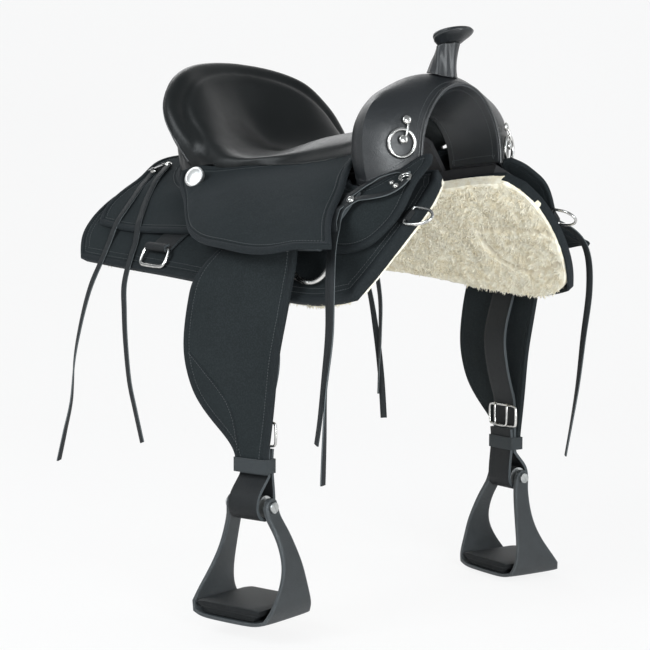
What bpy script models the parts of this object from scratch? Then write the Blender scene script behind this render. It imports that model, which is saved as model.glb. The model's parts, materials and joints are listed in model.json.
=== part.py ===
"""Western trail saddle: padded seat on a rigid tree, layered skirts and jockeys, fenders and stirrups.

Frame: +X towards the horn, +Y the saddle's left, +Z up. The origin is on the horse's spine under the
middle of the seat. Lengths are metres. A place on the horse's side is written as (x, girth), where
girth runs from 0 on the spine to 1 where the barrel is widest, and lift is the height above the horse.
"""

import math

import bmesh
import bpy
from mathutils import Matrix, Vector

RIGHT, LEFT = -1, 1
HANDS = {"right": RIGHT, "left": LEFT}

# The horse's barrel at the saddle's rear, middle and front
REAR_STATION = -0.35
FRONT_STATION = 0.355
BARREL_REACH = (0.262, 0.258, 0.236)
BARREL_RISE = (0.228, 0.180, 0.237)
BARREL_FULLNESS = (2.2, 1.8, 1.3)
WIDEST_LEVEL = -0.18

# Plies, from the horse outwards
PLY_GAP = 0.0008
NEST_GAP = 0.0003
FLEECE_THICK = 0.014
SKIRT_THICK = 0.007
BAR_THICK = 0.018
JOCKEY_THICK = 0.006
SKIRT_LIFT = FLEECE_THICK + NEST_GAP
SKIRT_TOP = SKIRT_LIFT + SKIRT_THICK
BAR_LIFT = SKIRT_TOP + 2 * PLY_GAP
BAR_TOP = BAR_LIFT + BAR_THICK
FLEECE_INSET = 0.002

# Fender, leathers and stirrups
LEATHER_X = 0.155
HINGE_LEVEL = -0.005
HINGE_SHARE = 0.6585
FENDER_CLEAR = 0.0364
FENDER_THICK = 0.007
LEATHER_WIDTH = 0.053
LEATHER_THICK = 0.005
LEATHER_BELLY = 0.024
LOOP_WIDTH = 0.054
LOOP_THICK = 0.005
LEFT_HOLE_DROP = 0.020
BOLT_LEVEL = -0.455
BOLT_CLEAR = 0.0374
BOLT_RADIUS = 0.004
BOLT_HEAD_RADIUS = 0.0085
STUD_RADIUS = 0.005
STUD_PLAY = 0.0003
STUD_ROOT_SHARE = 0.5539
STUD_HEAD_RADIUS = 0.008
STUD_HEAD_THICK = 0.0025
ROLLER_RADIUS = 0.0165

# Metal rings
SWELL_RING_RADIUS = 0.0205
SWELL_RING_WIRE = 0.0023
REAR_DEE_WIDTH = 0.062
REAR_DEE_HEIGHT = 0.032
REAR_DEE_WIRE = 0.0028
FRONT_DEE_WIDTH = 0.084
FRONT_DEE_HEIGHT = 0.054
FRONT_DEE_WIRE = 0.0042
BREAST_DEE_WIDTH = 0.034
BREAST_DEE_HEIGHT = 0.044
BREAST_DEE_WIRE = 0.0022
BREAST_DEE_TILT = math.radians(24)
LACE_RADIUS = 0.0042


def clear_scene():
    for old in list(bpy.data.objects):
        bpy.data.objects.remove(old, do_unlink=True)


def new_collection(name):
    found = bpy.data.collections.new(name)
    bpy.context.scene.collection.children.link(found)
    return found


clear_scene()
SADDLE = new_collection("trail_saddle")
CUTTERS = new_collection("cutters")


def material(name, color, roughness, metallic=0.0):
    made = bpy.data.materials.new(name)
    made.use_nodes = True
    shader = made.node_tree.nodes["Principled BSDF"]
    shader.inputs["Base Color"].default_value = (*color, 1.0)
    shader.inputs["Roughness"].default_value = roughness
    shader.inputs["Metallic"].default_value = metallic
    made.diffuse_color = (*color, 1.0)
    return made


WOVEN = material("black_woven_cloth", (0.016, 0.017, 0.019), 0.85)
SMOOTH_LEATHER = material("black_smooth_leather", (0.018, 0.018, 0.020), 0.38)
STRAP_LEATHER = material("black_strap_leather", (0.014, 0.014, 0.015), 0.6)
FLEECE = material("cream_fleece", (0.80, 0.72, 0.58), 0.95)
NICKEL = material("nickel_plate", (0.72, 0.72, 0.72), 0.2, 1.0)
POLYMER = material("black_polymer", (0.025, 0.026, 0.028), 0.5)
RUBBER = material("black_rubber", (0.02, 0.02, 0.02), 0.8)
TREE_SHELL = material("moulded_tree", (0.03, 0.03, 0.032), 0.6)


# Curves and surfaces


def spread(points, count, closed=False):
    """Evenly spaced places on a smooth curve through the given points, of any dimension."""
    last = len(points) - 1
    fine = []
    spans = len(points) if closed else last
    for i in range(spans):
        if closed:
            a, b, c, d = (points[(i + k) % len(points)] for k in (-1, 0, 1, 2))
        else:
            a, b, c, d = points[max(i - 1, 0)], points[i], points[i + 1], points[min(i + 2, last)]
        for k in range(12):
            t = k / 12
            fine.append([
                0.5 * (2 * q + (r - p) * t + (2 * p - 5 * q + 4 * r - s) * t * t
                       + (3 * q - p - 3 * r + s) * t ** 3)
                for p, q, r, s in zip(a, b, c, d)
            ])
    fine.append(list(points[0] if closed else points[last]))
    run = [0.0]
    for a, b in zip(fine[:-1], fine[1:]):
        run.append(run[-1] + math.dist(a, b))
    steps = count if closed else count - 1
    places = []
    at = 0
    for i in range(count):
        goal = run[-1] * i / steps
        while at < len(run) - 2 and run[at + 1] < goal:
            at += 1
        t = (goal - run[at]) / max(run[at + 1] - run[at], 1e-12)
        places.append(tuple(a + (b - a) * t for a, b in zip(fine[at], fine[at + 1])))
    return places


def between(a, b, t):
    return tuple(p + (q - p) * t for p, q in zip(a, b))


def ramp(value, start, end):
    """0 before start, 1 past end, smooth between."""
    t = min(max((value - start) / (end - start), 0.0), 1.0)
    return t * t * (3 - 2 * t)


def lookup(value, table):
    """Smooth reading of a table of (key, value) pairs in rising order of key."""
    if value <= table[0][0]:
        return table[0][1]
    for (k0, v0), (k1, v1) in zip(table[:-1], table[1:]):
        if value <= k1:
            return v0 + (v1 - v0) * ramp(value, k0, k1)
    return table[-1][1]


def along(x, rear, middle, front):
    """A size known at the saddle's rear, middle and front, at any x."""
    r, f = REAR_STATION, FRONT_STATION
    return (middle * (x - r) * (x - f) / (r * f) + rear * x * (x - f) / (r * (r - f))
            + front * x * (x - r) / (f * (f - r)))


def side(place, lift, hand):
    """The point above a place on the horse's side."""
    x, girth = place
    reach, rise, full = along(x, *BARREL_REACH), along(x, *BARREL_RISE), along(x, *BARREL_FULLNESS)
    angle = math.pi / 2 * (1 - girth)
    across, up = math.cos(angle) ** (2 / full), math.sin(angle) ** (2 / full)
    out = Vector((0, across ** (full - 1) / reach, up ** (full - 1) / rise)).normalized()
    return Vector((x, hand * (reach * across + lift * out.y), WIDEST_LEVEL + rise * up + lift * out.z))


def by_height(x, z):
    full = along(x, *BARREL_FULLNESS)
    up = (z - WIDEST_LEVEL) / along(x, *BARREL_RISE)
    return x, 1 - math.asin(up ** (full / 2)) * 2 / math.pi


def by_reach(x, y):
    full = along(x, *BARREL_FULLNESS)
    across = y / along(x, *BARREL_REACH)
    return x, 1 - math.acos(across ** (full / 2)) * 2 / math.pi


def by_share(x, share):
    """A place at a share of the barrel's reach."""
    full = along(x, *BARREL_FULLNESS)
    return x, 1 - math.acos(share ** (full / 2)) * 2 / math.pi


def outward(place, hand):
    """The direction straight out of the horse's side at a place."""
    return (side(place, 0.01, hand) - side(place, 0, hand)).normalized()


# Where the hung pieces start and how far out they hang, beside the barrel at the leathers
LEATHER_BARREL = along(LEATHER_X, *BARREL_REACH)
HINGE_REACH = HINGE_SHARE * LEATHER_BARREL
BOLT_REACH = LEATHER_BARREL + BOLT_CLEAR


# Objects


def add_object(name, data, finish):
    made = bpy.data.objects.new(name, data)
    SADDLE.objects.link(made)
    data.materials.append(finish)
    return made


def mesh_object(name, points, faces, finish):
    mesh = bpy.data.meshes.new(name)
    mesh.from_pydata([tuple(p) for p in points], [], faces)
    mesh.update()
    return add_object(name, mesh, finish)


def smooth_shade(made, degrees=40):
    made.data.shade_smooth()
    made.data.set_sharp_from_angle(angle=math.radians(degrees))


def thicken(made, thickness, start=0.0, even=True):
    """Thickness on a sheet's outer side, starting at a height above the sheet itself."""
    solidify = made.modifiers.new("thickness", "SOLIDIFY")
    solidify.thickness = thickness
    solidify.offset = 1 + 2 * start / thickness
    solidify.use_even_offset = even
    return made


def grid_faces(rows, columns, flip=False):
    faces = []
    for i in range(rows - 1):
        for j in range(columns - 1):
            a = i * columns + j
            face = [a, a + 1, a + 1 + columns, a + columns]
            faces.append(face[::-1] if flip else face)
    return faces


def sheet(name, rows, finish, thickness, flip=False, start=0.0, even=True):
    """A sheet of cloth or leather: rows of points, thickened to its outer side."""
    points = [p for row in rows for p in row]
    made = mesh_object(name, points, grid_faces(len(rows), len(rows[0]), flip), finish)
    smooth_shade(made)
    return thicken(made, thickness, start, even)


def loft(name, rings, finish, closed=False, flip=False):
    """A solid through rings of points. Unless it closes on itself, its ends are capped."""
    count = len(rings[0])
    points = [p for ring in rings for p in ring]
    faces = []
    spans = len(rings) if closed else len(rings) - 1
    for i in range(spans):
        a, b = i * count, (i + 1) % len(rings) * count
        for j in range(count):
            k = (j + 1) % count
            faces.append([a + j, a + k, b + k, b + j])
    if not closed:
        faces.append(list(range(count))[::-1])
        faces.append([(len(rings) - 1) * count + j for j in range(count)])
    made = mesh_object(name, points, faces, finish)
    mesh = bmesh.new()
    mesh.from_mesh(made.data)
    bmesh.ops.recalc_face_normals(mesh, faces=mesh.faces)
    mesh.to_mesh(made.data)
    mesh.free()
    smooth_shade(made)
    return made


def slab(name, top, bottom, finish):
    """A solid between two grids of points, closed around their edges."""
    rows, columns = len(top), len(top[0])
    points = [p for row in top for p in row] + [p for row in bottom for p in row]
    under = rows * columns
    faces = grid_faces(rows, columns, flip=True)
    faces += [[v + under for v in face[::-1]] for face in faces]
    border = [c for c in range(columns)] + [r * columns + columns - 1 for r in range(1, rows)]
    border += [(rows - 1) * columns + c for c in range(columns - 2, -1, -1)]
    border += [r * columns for r in range(rows - 2, 0, -1)]
    for a, b in zip(border, border[1:] + border[:1]):
        faces.append([a, b, b + under, a + under])
    made = mesh_object(name, points, faces, finish)
    mesh = bmesh.new()
    mesh.from_mesh(made.data)
    bmesh.ops.recalc_face_normals(mesh, faces=mesh.faces)
    mesh.to_mesh(made.data)
    mesh.free()
    smooth_shade(made)
    return made


def wire(name, points, radius, finish, closed=False, sides=1):
    """A bent rod or a lace: a poly spline with a round bevel."""
    curve = bpy.data.curves.new(name, "CURVE")
    curve.dimensions = "3D"
    curve.bevel_depth = radius
    curve.bevel_resolution = sides
    curve.render_resolution_u = 0
    curve.use_fill_caps = not closed
    spline = curve.splines.new("POLY")
    spline.points.add(len(points) - 1)
    for knot, place in zip(spline.points, points):
        knot.co = (*place, 1.0)
    spline.use_cyclic_u = closed
    return add_object(name, curve, finish)


def as_mesh(made):
    """A curve turned into a closed mesh object of the same name and place."""
    graph = bpy.context.evaluated_depsgraph_get()
    mesh = bpy.data.meshes.new_from_object(made.evaluated_get(graph))
    work = bmesh.new()
    work.from_mesh(mesh)
    bmesh.ops.remove_doubles(work, verts=work.verts, dist=1e-5)
    work.to_mesh(mesh)
    work.free()
    name, finish, place = made.name, made.data.materials[0], made.matrix_world.copy()
    bpy.data.objects.remove(made, do_unlink=True)
    mesh.materials.clear()
    solid = add_object(name, mesh, finish)
    solid.matrix_world = place
    return solid


def primitive(name, finish, adder, **settings):
    """A Blender primitive as a named object of the saddle."""
    adder(**settings)
    made = bpy.context.active_object
    for home in list(made.users_collection):
        home.objects.unlink(made)
    SADDLE.objects.link(made)
    made.name = made.data.name = name
    made.data.materials.append(finish)
    return made


def rod(name, finish, start, end, radius, corners=12):
    """A cylinder from start to end."""
    start, end = Vector(start), Vector(end)
    made = primitive(name, finish, bpy.ops.mesh.primitive_cylinder_add, vertices=corners, radius=radius,
                     depth=(end - start).length)
    turn = (end - start).to_track_quat("Z", "Y").to_matrix().to_4x4()
    made.data.transform(Matrix.Translation((start + end) / 2) @ turn)
    made.location = (0, 0, 0)
    return made


def box(name, finish, low, high):
    low, high = Vector(low), Vector(high)
    made = primitive(name, finish, bpy.ops.mesh.primitive_cube_add, size=1)
    made.data.transform(Matrix.Translation((low + high) / 2) @ Matrix.Diagonal((*(high - low), 1)))
    return made


def bevel(made, width, segments=1, degrees=40):
    rounded = made.modifiers.new("edges", "BEVEL")
    rounded.width = width
    rounded.segments = segments
    rounded.limit_method = "ANGLE"
    rounded.angle_limit = math.radians(degrees)
    return made


def boolean(made, tool, operation):
    """Cut or join with a tool, which goes to the cutters' collection."""
    for home in list(tool.users_collection):
        home.objects.unlink(tool)
    CUTTERS.objects.link(tool)
    tool.hide_render = True
    tool.display_type = "WIRE"
    change = made.modifiers.new(tool.name, "BOOLEAN")
    change.object = tool
    change.operation = operation
    change.solver = "EXACT"
    return made


# Layers on the horse's side


def panel(name, low, high, lift, start, thickness, finish, hand, columns, rows):
    """A ply whose outline runs along a low curve and back along a high one.

    The grid lies at the lift, and the ply itself starts at a height above the grid.
    """
    low, high = spread(low, columns), spread(high, columns)
    grid = []
    for r in rows:
        line = []
        for a, b in zip(low, high):
            place = between(a, b, r)
            height = lift(place, r) if callable(lift) else lift
            line.append(side(place, height, hand))
        grid.append(line)
    return sheet(name, grid, finish, thickness, flip=hand == LEFT, start=start)


def beneath(x, y, lift):
    """The place on the horse's side whose surface at a lift passes over (x, y)."""
    low, high = 0.0, 1.0
    for _ in range(30):
        girth = (low + high) / 2
        if side((x, girth), lift, LEFT).y < abs(y):
            low = girth
        else:
            high = girth
    return x, low


def over(x, y, lift):
    """The height of the surface at a lift over (x, y)."""
    return side(beneath(x, y, lift), lift, LEFT).z


def cast(ply, base, out):
    """How far a ply's outer face stands above a base point, or nothing where the ply isn't there."""
    ply = ply.evaluated_get(bpy.context.evaluated_depsgraph_get())
    found, spot, _, _ = ply.ray_cast(base + out * 0.15, -out)
    return (spot - base).dot(out) if found else None


def rest_on(ply, base, up, out, half_up, half_across, gap=0.0004):
    """Where a flat piece rests on a ply, touching its highest point under the piece."""
    across = up.cross(out).normalized()
    heights = []
    for i in (-1, -0.5, 0, 0.5, 1):
        for j in (-1, 0, 1):
            heights.append(cast(ply, base + up * half_up * i + across * half_across * j, out))
    return base + out * (max(h for h in heights if h is not None) + gap)


def lie_on(points, plies, radius, hand, gap=0.0007, reach=0.016):
    """A lace's points, laid on the plies that they pass over, or within a reach above."""
    laid = []
    for point in points:
        if point[2] < WIDEST_LEVEL + 0.012:
            laid.append(tuple(point))
            continue
        low, high = 0.01, 0.999
        for _ in range(20):
            girth = (low + high) / 2
            place = (point[0], girth)
            tangent = side((point[0], girth + 0.001), 0, hand) - side(place, 0, hand)
            if (Vector(point) - side(place, 0, hand)).dot(tangent) > 0:
                low = girth
            else:
                high = girth
        base, out = side((point[0], low), 0, hand), outward((point[0], low), hand)
        height = (Vector(point) - base).dot(out)
        along_x = Vector((1, 0, 0))
        down = out.cross(along_x)
        tops = [0.0]
        for i in range(-5, 6):
            for j in (-1, 0, 1):
                around = base + down * 0.0045 * i + along_x * 0.0045 * j
                tops += [cast(ply, around, out) or 0.0 for ply in plies]
        rest = max(tops) + radius + gap
        if height < rest + reach and rest > radius + gap:
            height = rest
        laid.append(tuple(base + out * height))
    return laid


# The side plies: fleece, skirt, tree bar and jockeys

SKIRT_LOW = [
    by_reach(-0.310, 0.052), by_reach(-0.318, 0.10), by_reach(-0.328, 0.165), by_height(-0.339, -0.035),
    by_height(-0.342, -0.075), by_height(-0.330, -0.101), by_height(-0.298, -0.110),
    by_height(-0.15, -0.122), by_height(0.014, -0.138), by_height(0.13, -0.152), by_height(0.24, -0.163),
    by_height(0.288, -0.166), by_height(0.316, -0.157), by_height(0.335, -0.131),
    by_height(0.347, -0.096), by_height(0.356, -0.058), by_height(0.357, -0.023), by_reach(0.345, 0.086),
]
SKIRT_HIGH = [
    by_reach(-0.290, 0.036), by_reach(-0.15, 0.044), by_reach(0.0, 0.050), by_reach(0.15, 0.054),
    by_reach(0.28, 0.058), by_reach(0.330, 0.066),
]
FLEECE_ABOVE = 0.065
BAR_LOW = [
    by_share(-0.285, 0.3047), by_share(-0.26, 0.4569), by_share(-0.17, 0.5341), by_share(0.0, 0.4845),
    by_share(0.075, 0.4826), by_share(0.125, 0.4994), by_share(0.165, 0.4800),
    by_share(0.22, 0.5598), by_share(0.29, 0.5800), by_share(0.315, 0.4177),
]
BAR_HIGH = [
    by_share(-0.275, 0.2285), by_share(-0.15, 0.1986), by_share(0.0, 0.2171), by_share(0.12, 0.2296),
    by_share(0.22, 0.2434), by_share(0.300, 0.2743),
]
REAR_JOCKEY_LOW = [
    by_reach(-0.306, 0.034), by_reach(-0.312, 0.10), (-0.315, 0.45), (-0.313, 0.57), (-0.300, 0.630),
    (-0.275, 0.640), (-0.244, 0.634), (-0.192, 0.625), (-0.142, 0.617), (-0.094, 0.611), (-0.05, 0.600),
    (-0.03, 0.55),
]
REAR_JOCKEY_HIGH_ENDS = [by_reach(-0.289, 0.026)], [by_reach(-0.09, 0.150), by_reach(-0.05, 0.150)]
FRONT_JOCKEY_LOW = [
    (0.20, 0.64), (0.235, 0.662), (0.267, 0.672), (0.292, 0.674), (0.311, 0.662), (0.327, 0.632),
    (0.338, 0.588), (0.345, 0.533), (0.349, 0.477), (0.350, 0.426), (0.347, 0.365), (0.340, 0.310),
    by_reach(0.326, 0.064),
]
FRONT_JOCKEY_HIGH_ENDS = [by_reach(0.196, 0.105), by_reach(0.206, 0.118)], [by_reach(0.313, 0.064)]
TUCK = 0.002
REAR_STRAP_X = (-0.103, -0.116)
REAR_STRAP_WIDTH = 0.049
REAR_STRAP_THICK = 0.004
REAR_STRAP_GIRTH = (0.585, 0.690)
BREAST_DEE_X = 0.3515
BREAST_DEE_GIRTH = 0.520


def hump(value, middle, half, shoulder):
    """1 within half of the middle, falling to 0 over the shoulder on each side."""
    return 1 - ramp(abs(value - middle), half, half + shoulder)


def jockey_lift(place, edge_lift=0.0):
    """Over the bar near the spine, down to the skirt past the bar's lower edge."""
    x, girth = place
    bar_edge = lookup(x, [(low_x, low_girth) for low_x, low_girth in BAR_LOW])
    on_bar = 1 - ramp(girth, bar_edge + 0.035, bar_edge + 0.17)
    return SKIRT_TOP + PLY_GAP * 1.6 + edge_lift + (BAR_TOP - SKIRT_TOP) * on_bar


def rear_jockey_lift(place, row):
    under = hump(place[0], REAR_STRAP_X[0] - 0.003, REAR_STRAP_WIDTH / 2 + 0.012, 0.03)
    return jockey_lift(place, (REAR_STRAP_THICK + 2 * PLY_GAP) * under)


def front_jockey_lift(place, row):
    under = hump(place[0], BREAST_DEE_X, 0.025, 0.05) * hump(place[1], BREAST_DEE_GIRTH, 0.08, 0.08)
    return jockey_lift(place, (2 * BREAST_DEE_WIRE + PLY_GAP) * under)


def make_plies(side_name, hand):
    rows = [r / 6 for r in range(7)]
    shared_rows = [FLEECE_INSET / 0.28] + rows[1:]
    panel(f"{side_name}_skirt_fleece", SKIRT_LOW, SKIRT_HIGH, 0.0, 0.0, FLEECE_THICK, FLEECE, hand, 20,
          shared_rows + [1 + FLEECE_ABOVE])
    panel(f"{side_name}_skirt", SKIRT_LOW, SKIRT_HIGH, 0.0, SKIRT_LIFT, SKIRT_THICK, WOVEN, hand, 20,
          [0.0] + shared_rows)
    panel(f"{side_name}_tree_bar", BAR_LOW, BAR_HIGH, BAR_LIFT, 0.0, BAR_THICK, TREE_SHELL, hand, 14,
          [r / 3 for r in range(4)])
    bar = bpy.data.objects[f"{side_name}_tree_bar"]
    stud_end = LEATHER_THICK / 2 + STUD_PLAY
    stud_root = FENDER_OUT + (STUD_ROOT_SHARE * LEATHER_BARREL - HINGE_REACH - FENDER_OUT) / math.cos(TOE_IN)
    stud = rod(f"{side_name}_stud", TREE_SHELL, hung(0, stud_root, 0, hand),
               hung(0, stud_end + 0.001, 0, hand), STUD_RADIUS)
    boolean(bar, stud, "UNION")
    head = rod(f"{side_name}_stud_head", TREE_SHELL, hung(0, stud_end, 0, hand),
               hung(0, stud_end + STUD_HEAD_THICK, 0, hand), STUD_HEAD_RADIUS)
    boolean(bar, head, "UNION")
    settle(bar)
    top = BAR_TOP + JOCKEY_THICK
    rear_first, rear_last = REAR_JOCKEY_HIGH_ENDS
    rear_high = rear_first + [beneath(x - TUCK, y + TUCK, top) for x, y in CANTLE_BASE[1:]] + rear_last
    panel(f"{side_name}_rear_jockey", REAR_JOCKEY_LOW, rear_high, rear_jockey_lift, 0.0, JOCKEY_THICK, WOVEN,
          hand, 15, rows)
    feet = [fork_line(lambda angle, k=k: fork_section(angle)[k], 2)[0] for k in range(3, 10)]
    front_first, front_last = FRONT_JOCKEY_HIGH_ENDS
    front_high = front_first + [beneath(foot.x, foot.y + 2.6 * TUCK, top) for foot in feet] + front_last
    panel(f"{side_name}_front_jockey", FRONT_JOCKEY_LOW, front_high, front_jockey_lift, 0.0, JOCKEY_THICK,
          WOVEN, hand, 12, rows)


# The fork

ARCH_CENTRE = 0.045
FORK_REAR_X = 0.212
FORK_RIDGE_X = 0.256
FORK_LIP_X = 0.305
FORK_SEAT = BAR_TOP + PLY_GAP * 2.6
COVER_THICK = 0.003
LINING_THICK = 0.003
FORK_REAR = [(0, 0.185), (0.037, 0.179), (0.083, 0.160), (0.125, 0.131), (0.1435, 0.103), (0.149, 0.0755),
             (0.145, 0.045), (0.132, 0.010), (0.115, -0.02)]
FORK_RIDGE = [(0, 0.187), (0.040, 0.184), (0.085, 0.168), (0.124, 0.150), (0.148, 0.130), (0.160, 0.106),
              (0.163, 0.080), (0.160, 0.050), (0.150, 0.015), (0.135, -0.02)]
FORK_LIP = [(0, 0.165), (0.028, 0.159), (0.052, 0.141), (0.071, 0.114), (0.081, 0.085), (0.084, 0.055),
            (0.084, 0.030), (0.083, 0.0), (0.080, -0.03)]
FORK_TUNNEL = [(0, 0.128), (0.025, 0.123), (0.047, 0.109), (0.064, 0.086), (0.072, 0.060), (0.075, 0.035),
               (0.075, 0.01), (0.073, -0.02)]


def polar(half):
    """Radius about the arch's centre by angle, for a profile given on its left half from the top."""
    table = []
    for y, z in spread(half, 60):
        table.append((math.atan2(z - ARCH_CENTRE, y), math.hypot(y, z - ARCH_CENTRE)))
    table.sort()

    def radius(angle):
        angle = min(angle, math.pi - angle)
        for (a, r), (b, s) in zip(table[:-1], table[1:]):
            if angle <= b:
                return r + (s - r) * (angle - a) / (b - a)
        return table[-1][1]
    return radius


REAR_RADIUS, RIDGE_RADIUS, LIP_RADIUS, TUNNEL_RADIUS = (
    polar(profile) for profile in (FORK_REAR, FORK_RIDGE, FORK_LIP, FORK_TUNNEL))


def inner_radius(x, angle):
    return TUNNEL_RADIUS(angle) + (LIP_RADIUS(angle) - TUNNEL_RADIUS(angle)) * (
        (x - FORK_REAR_X) / (FORK_LIP_X - FORK_REAR_X)) ** 2


def fork_section(angle):
    """The cover's outer line, from the back of the tunnel over the ridge to the front lip."""
    rear, ridge, lip = REAR_RADIUS(angle), RIDGE_RADIUS(angle), LIP_RADIUS(angle)
    start = LINING_THICK + NEST_GAP * 2
    return [
        (FORK_REAR_X, TUNNEL_RADIUS(angle) + start),
        (FORK_REAR_X, rear - 0.012),
        (FORK_REAR_X + 0.0025, rear - 0.004),
        (FORK_REAR_X + 0.009, rear + 0.001 + (ridge - rear) * 0.15),
        (FORK_REAR_X + 0.024, rear + (ridge - rear) * 0.78),
        (FORK_RIDGE_X, ridge),
        (FORK_RIDGE_X + 0.018, ridge + (lip - ridge) * 0.20),
        (FORK_RIDGE_X + 0.034, ridge + (lip - ridge) * 0.50),
        (FORK_LIP_X - 0.004, ridge + (lip - ridge) * 0.82),
        (FORK_LIP_X, lip + start),
    ]


def inset(line, distance):
    """A line of (x, radius) pairs moved to its inner side, its ends kept above the lining."""
    normals = []
    for (x0, r0), (x1, r1) in zip(line[:-1], line[1:]):
        size = math.hypot(x1 - x0, r1 - r0)
        normals.append(((r1 - r0) / size, -(x1 - x0) / size))
    moved = []
    for i, (x, r) in enumerate(line):
        a, b = normals[max(i - 1, 0)], normals[min(i, len(normals) - 1)]
        scale = distance / (1 + a[0] * b[0] + a[1] * b[1])
        moved.append((x + (a[0] + b[0]) * scale, r + (a[1] + b[1]) * scale))
    if distance > 0:
        moved[-1] = (moved[-1][0], max(moved[-1][1], line[-1][1]))
    return moved


def fork_line(corner, stations):
    """Places along the fork's arch from its left foot to its right foot."""
    def place(angle):
        x, r = corner(angle)
        return Vector((x, r * math.cos(angle), ARCH_CENTRE + r * math.sin(angle)))
    low, high = math.radians(-30), math.radians(60)
    for _ in range(24):
        middle = (low + high) / 2
        spot = place(middle)
        if spot.z > over(spot.x, spot.y, FORK_SEAT):
            high = middle
        else:
            low = middle
    return [place(high + (math.pi - 2 * high) * i / (stations - 1)) for i in range(stations)]


def fork_solid(name, finish, section, stations=21):
    """A solid whose closed section of (x, radius) pairs follows the arch."""
    count = len(section(math.pi / 2))
    lines = [fork_line(lambda angle, k=k: section(angle)[k], stations) for k in range(count)]
    return loft(name, [[line[i] for line in lines] for i in range(stations)], finish)


def cover_section(angle):
    outer = fork_section(angle)
    return outer + inset(outer, COVER_THICK)[::-1]


def tree_section(angle):
    shell = inset(fork_section(angle), COVER_THICK + NEST_GAP * 4)
    above = LINING_THICK + NEST_GAP * 4
    rear_x, front_x = shell[1][0], FORK_LIP_X - 0.012
    return (
        [(rear_x, inner_radius(rear_x, angle) + above)] + shell[1:8]
        + [(front_x, inner_radius(front_x, angle) + above)]
        + [(x, inner_radius(x, angle) + above) for x in (FORK_RIDGE_X + 0.02, FORK_RIDGE_X - 0.01)]
    )


def lining_section(angle):
    places = [FORK_REAR_X + (FORK_LIP_X - FORK_REAR_X) * k / 3 for k in range(4)]
    inner = [(x, inner_radius(x, angle)) for x in places]
    return [(x, r + LINING_THICK) for x, r in inner] + inner[::-1]


def space_section(angle):
    outer = inset(fork_section(angle), -PLY_GAP)
    return outer + [(FORK_LIP_X, outer[-1][1] - 0.02), (FORK_REAR_X, outer[0][1] - 0.02)]


def make_fork():
    fork_solid("tree_fork", TREE_SHELL, tree_section)
    fork_solid("fork_cover", SMOOTH_LEATHER, cover_section)
    fork_solid("gullet_lining", SMOOTH_LEATHER, lining_section)


def fork_frame(angle, step):
    """A place on the fork's cover and the axes there: across the arch, up the arch and outward."""
    def at(turn, where):
        line = fork_section(turn)
        first = min(int(where), len(line) - 2)
        x, r = between(line[first], line[first + 1], where - first)
        return Vector((x, r * math.cos(turn), ARCH_CENTRE + r * math.sin(turn)))
    spot = at(angle, step)
    up = (at(angle + 0.02, step) - at(angle - 0.02, step)).normalized()
    if angle > math.pi / 2:
        up = -up
    forward = (at(angle, step + 0.2) - at(angle, step - 0.2)).normalized()
    out = forward.cross(up).normalized()
    if out.y * spot.y < 0:
        out = -out
    return spot, up, out


# Horn

HORN_CENTRE_X = 0.2855
HORN_CAP_Z = 0.2430
HORN_CAP_REACH = (0.0325, 0.0295)
HORN_TILT = math.radians(9)


def ellipse(centre, reach_x, reach_y, count, tilt=0.0):
    ring = []
    for i in range(count):
        turn = 2 * math.pi * i / count
        x, y = reach_x * math.cos(turn), reach_y * math.sin(turn)
        ring.append(Vector(centre) + Vector((x * math.cos(tilt), y, x * math.sin(tilt))))
    return ring


def make_horn():
    neck = [(0.262, 0.160, 0.0255, 0.028), (0.263, 0.184, 0.0235, 0.0250), (0.265, 0.195, 0.0213, 0.0220),
            (0.268, 0.207, 0.0195, 0.0197), (0.272, 0.218, 0.0185, 0.0187), (0.275, 0.2265, 0.0182, 0.0182)]
    wrap = loft("horn_neck_wrap", [
        ellipse((x, 0, z), a, b, 20, HORN_TILT * (i > 3)) for i, (x, z, a, b) in enumerate(neck)
    ], SMOOTH_LEATHER)
    space = fork_solid("fork_space", TREE_SHELL, space_section)
    boolean(wrap, space, "DIFFERENCE")
    rise = Vector((-math.sin(HORN_TILT), 0, math.cos(HORN_TILT)))
    centre = Vector((HORN_CENTRE_X, 0, HORN_CAP_Z))
    a, b = HORN_CAP_REACH
    levels = [(-0.0150, 0.59, -0.0085), (-0.0120, 0.68, -0.007), (-0.0060, 0.90, -0.002), (-0.002, 1.0, 0),
              (0.002, 0.985, 0), (0.0045, 0.93, 0), (0.0055, 0.84, 0), (0.0048, 0.70, 0), (0.0062, 0.55, 0),
              (0.0075, 0.20, 0)]
    loft("horn_cap", [
        ellipse(centre + rise * level + Vector((back, 0, 0)), a * size, b * size, 24, HORN_TILT)
        for level, size, back in levels
    ], SMOOTH_LEATHER)


# Seat and cantle

PAD_THICK = 0.017
PAD_EDGE_THICK = 0.009
SHELL_THICK = 0.008
CANTLE_COVER_THICK = 0.004
SEAT_FRONT_X = FORK_REAR_X - PLY_GAP
RIM = [(-0.250, 0, 0.233), (-0.246, 0.05, 0.2305), (-0.235, 0.10, 0.223), (-0.214, 0.149, 0.204),
       (-0.193, 0.187, 0.160), (-0.167, 0.195, 0.120), (-0.141, 0.188, 0.085), (-0.125, 0.176, 0.052)]
LIP = [(-0.216, 0, 0.223), (-0.212, 0.05, 0.220), (-0.202, 0.095, 0.210), (-0.184, 0.132, 0.190),
       (-0.166, 0.157, 0.153), (-0.144, 0.169, 0.116), (-0.122, 0.172, 0.082), (-0.109, 0.1715, 0.056)]
CANTLE_BASE = [(-0.272, 0), (-0.268, 0.045), (-0.253, 0.088), (-0.226, 0.122), (-0.196, 0.146),
               (-0.168, 0.159), (-0.146, 0.165), (-0.128, 0.168)]
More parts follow.
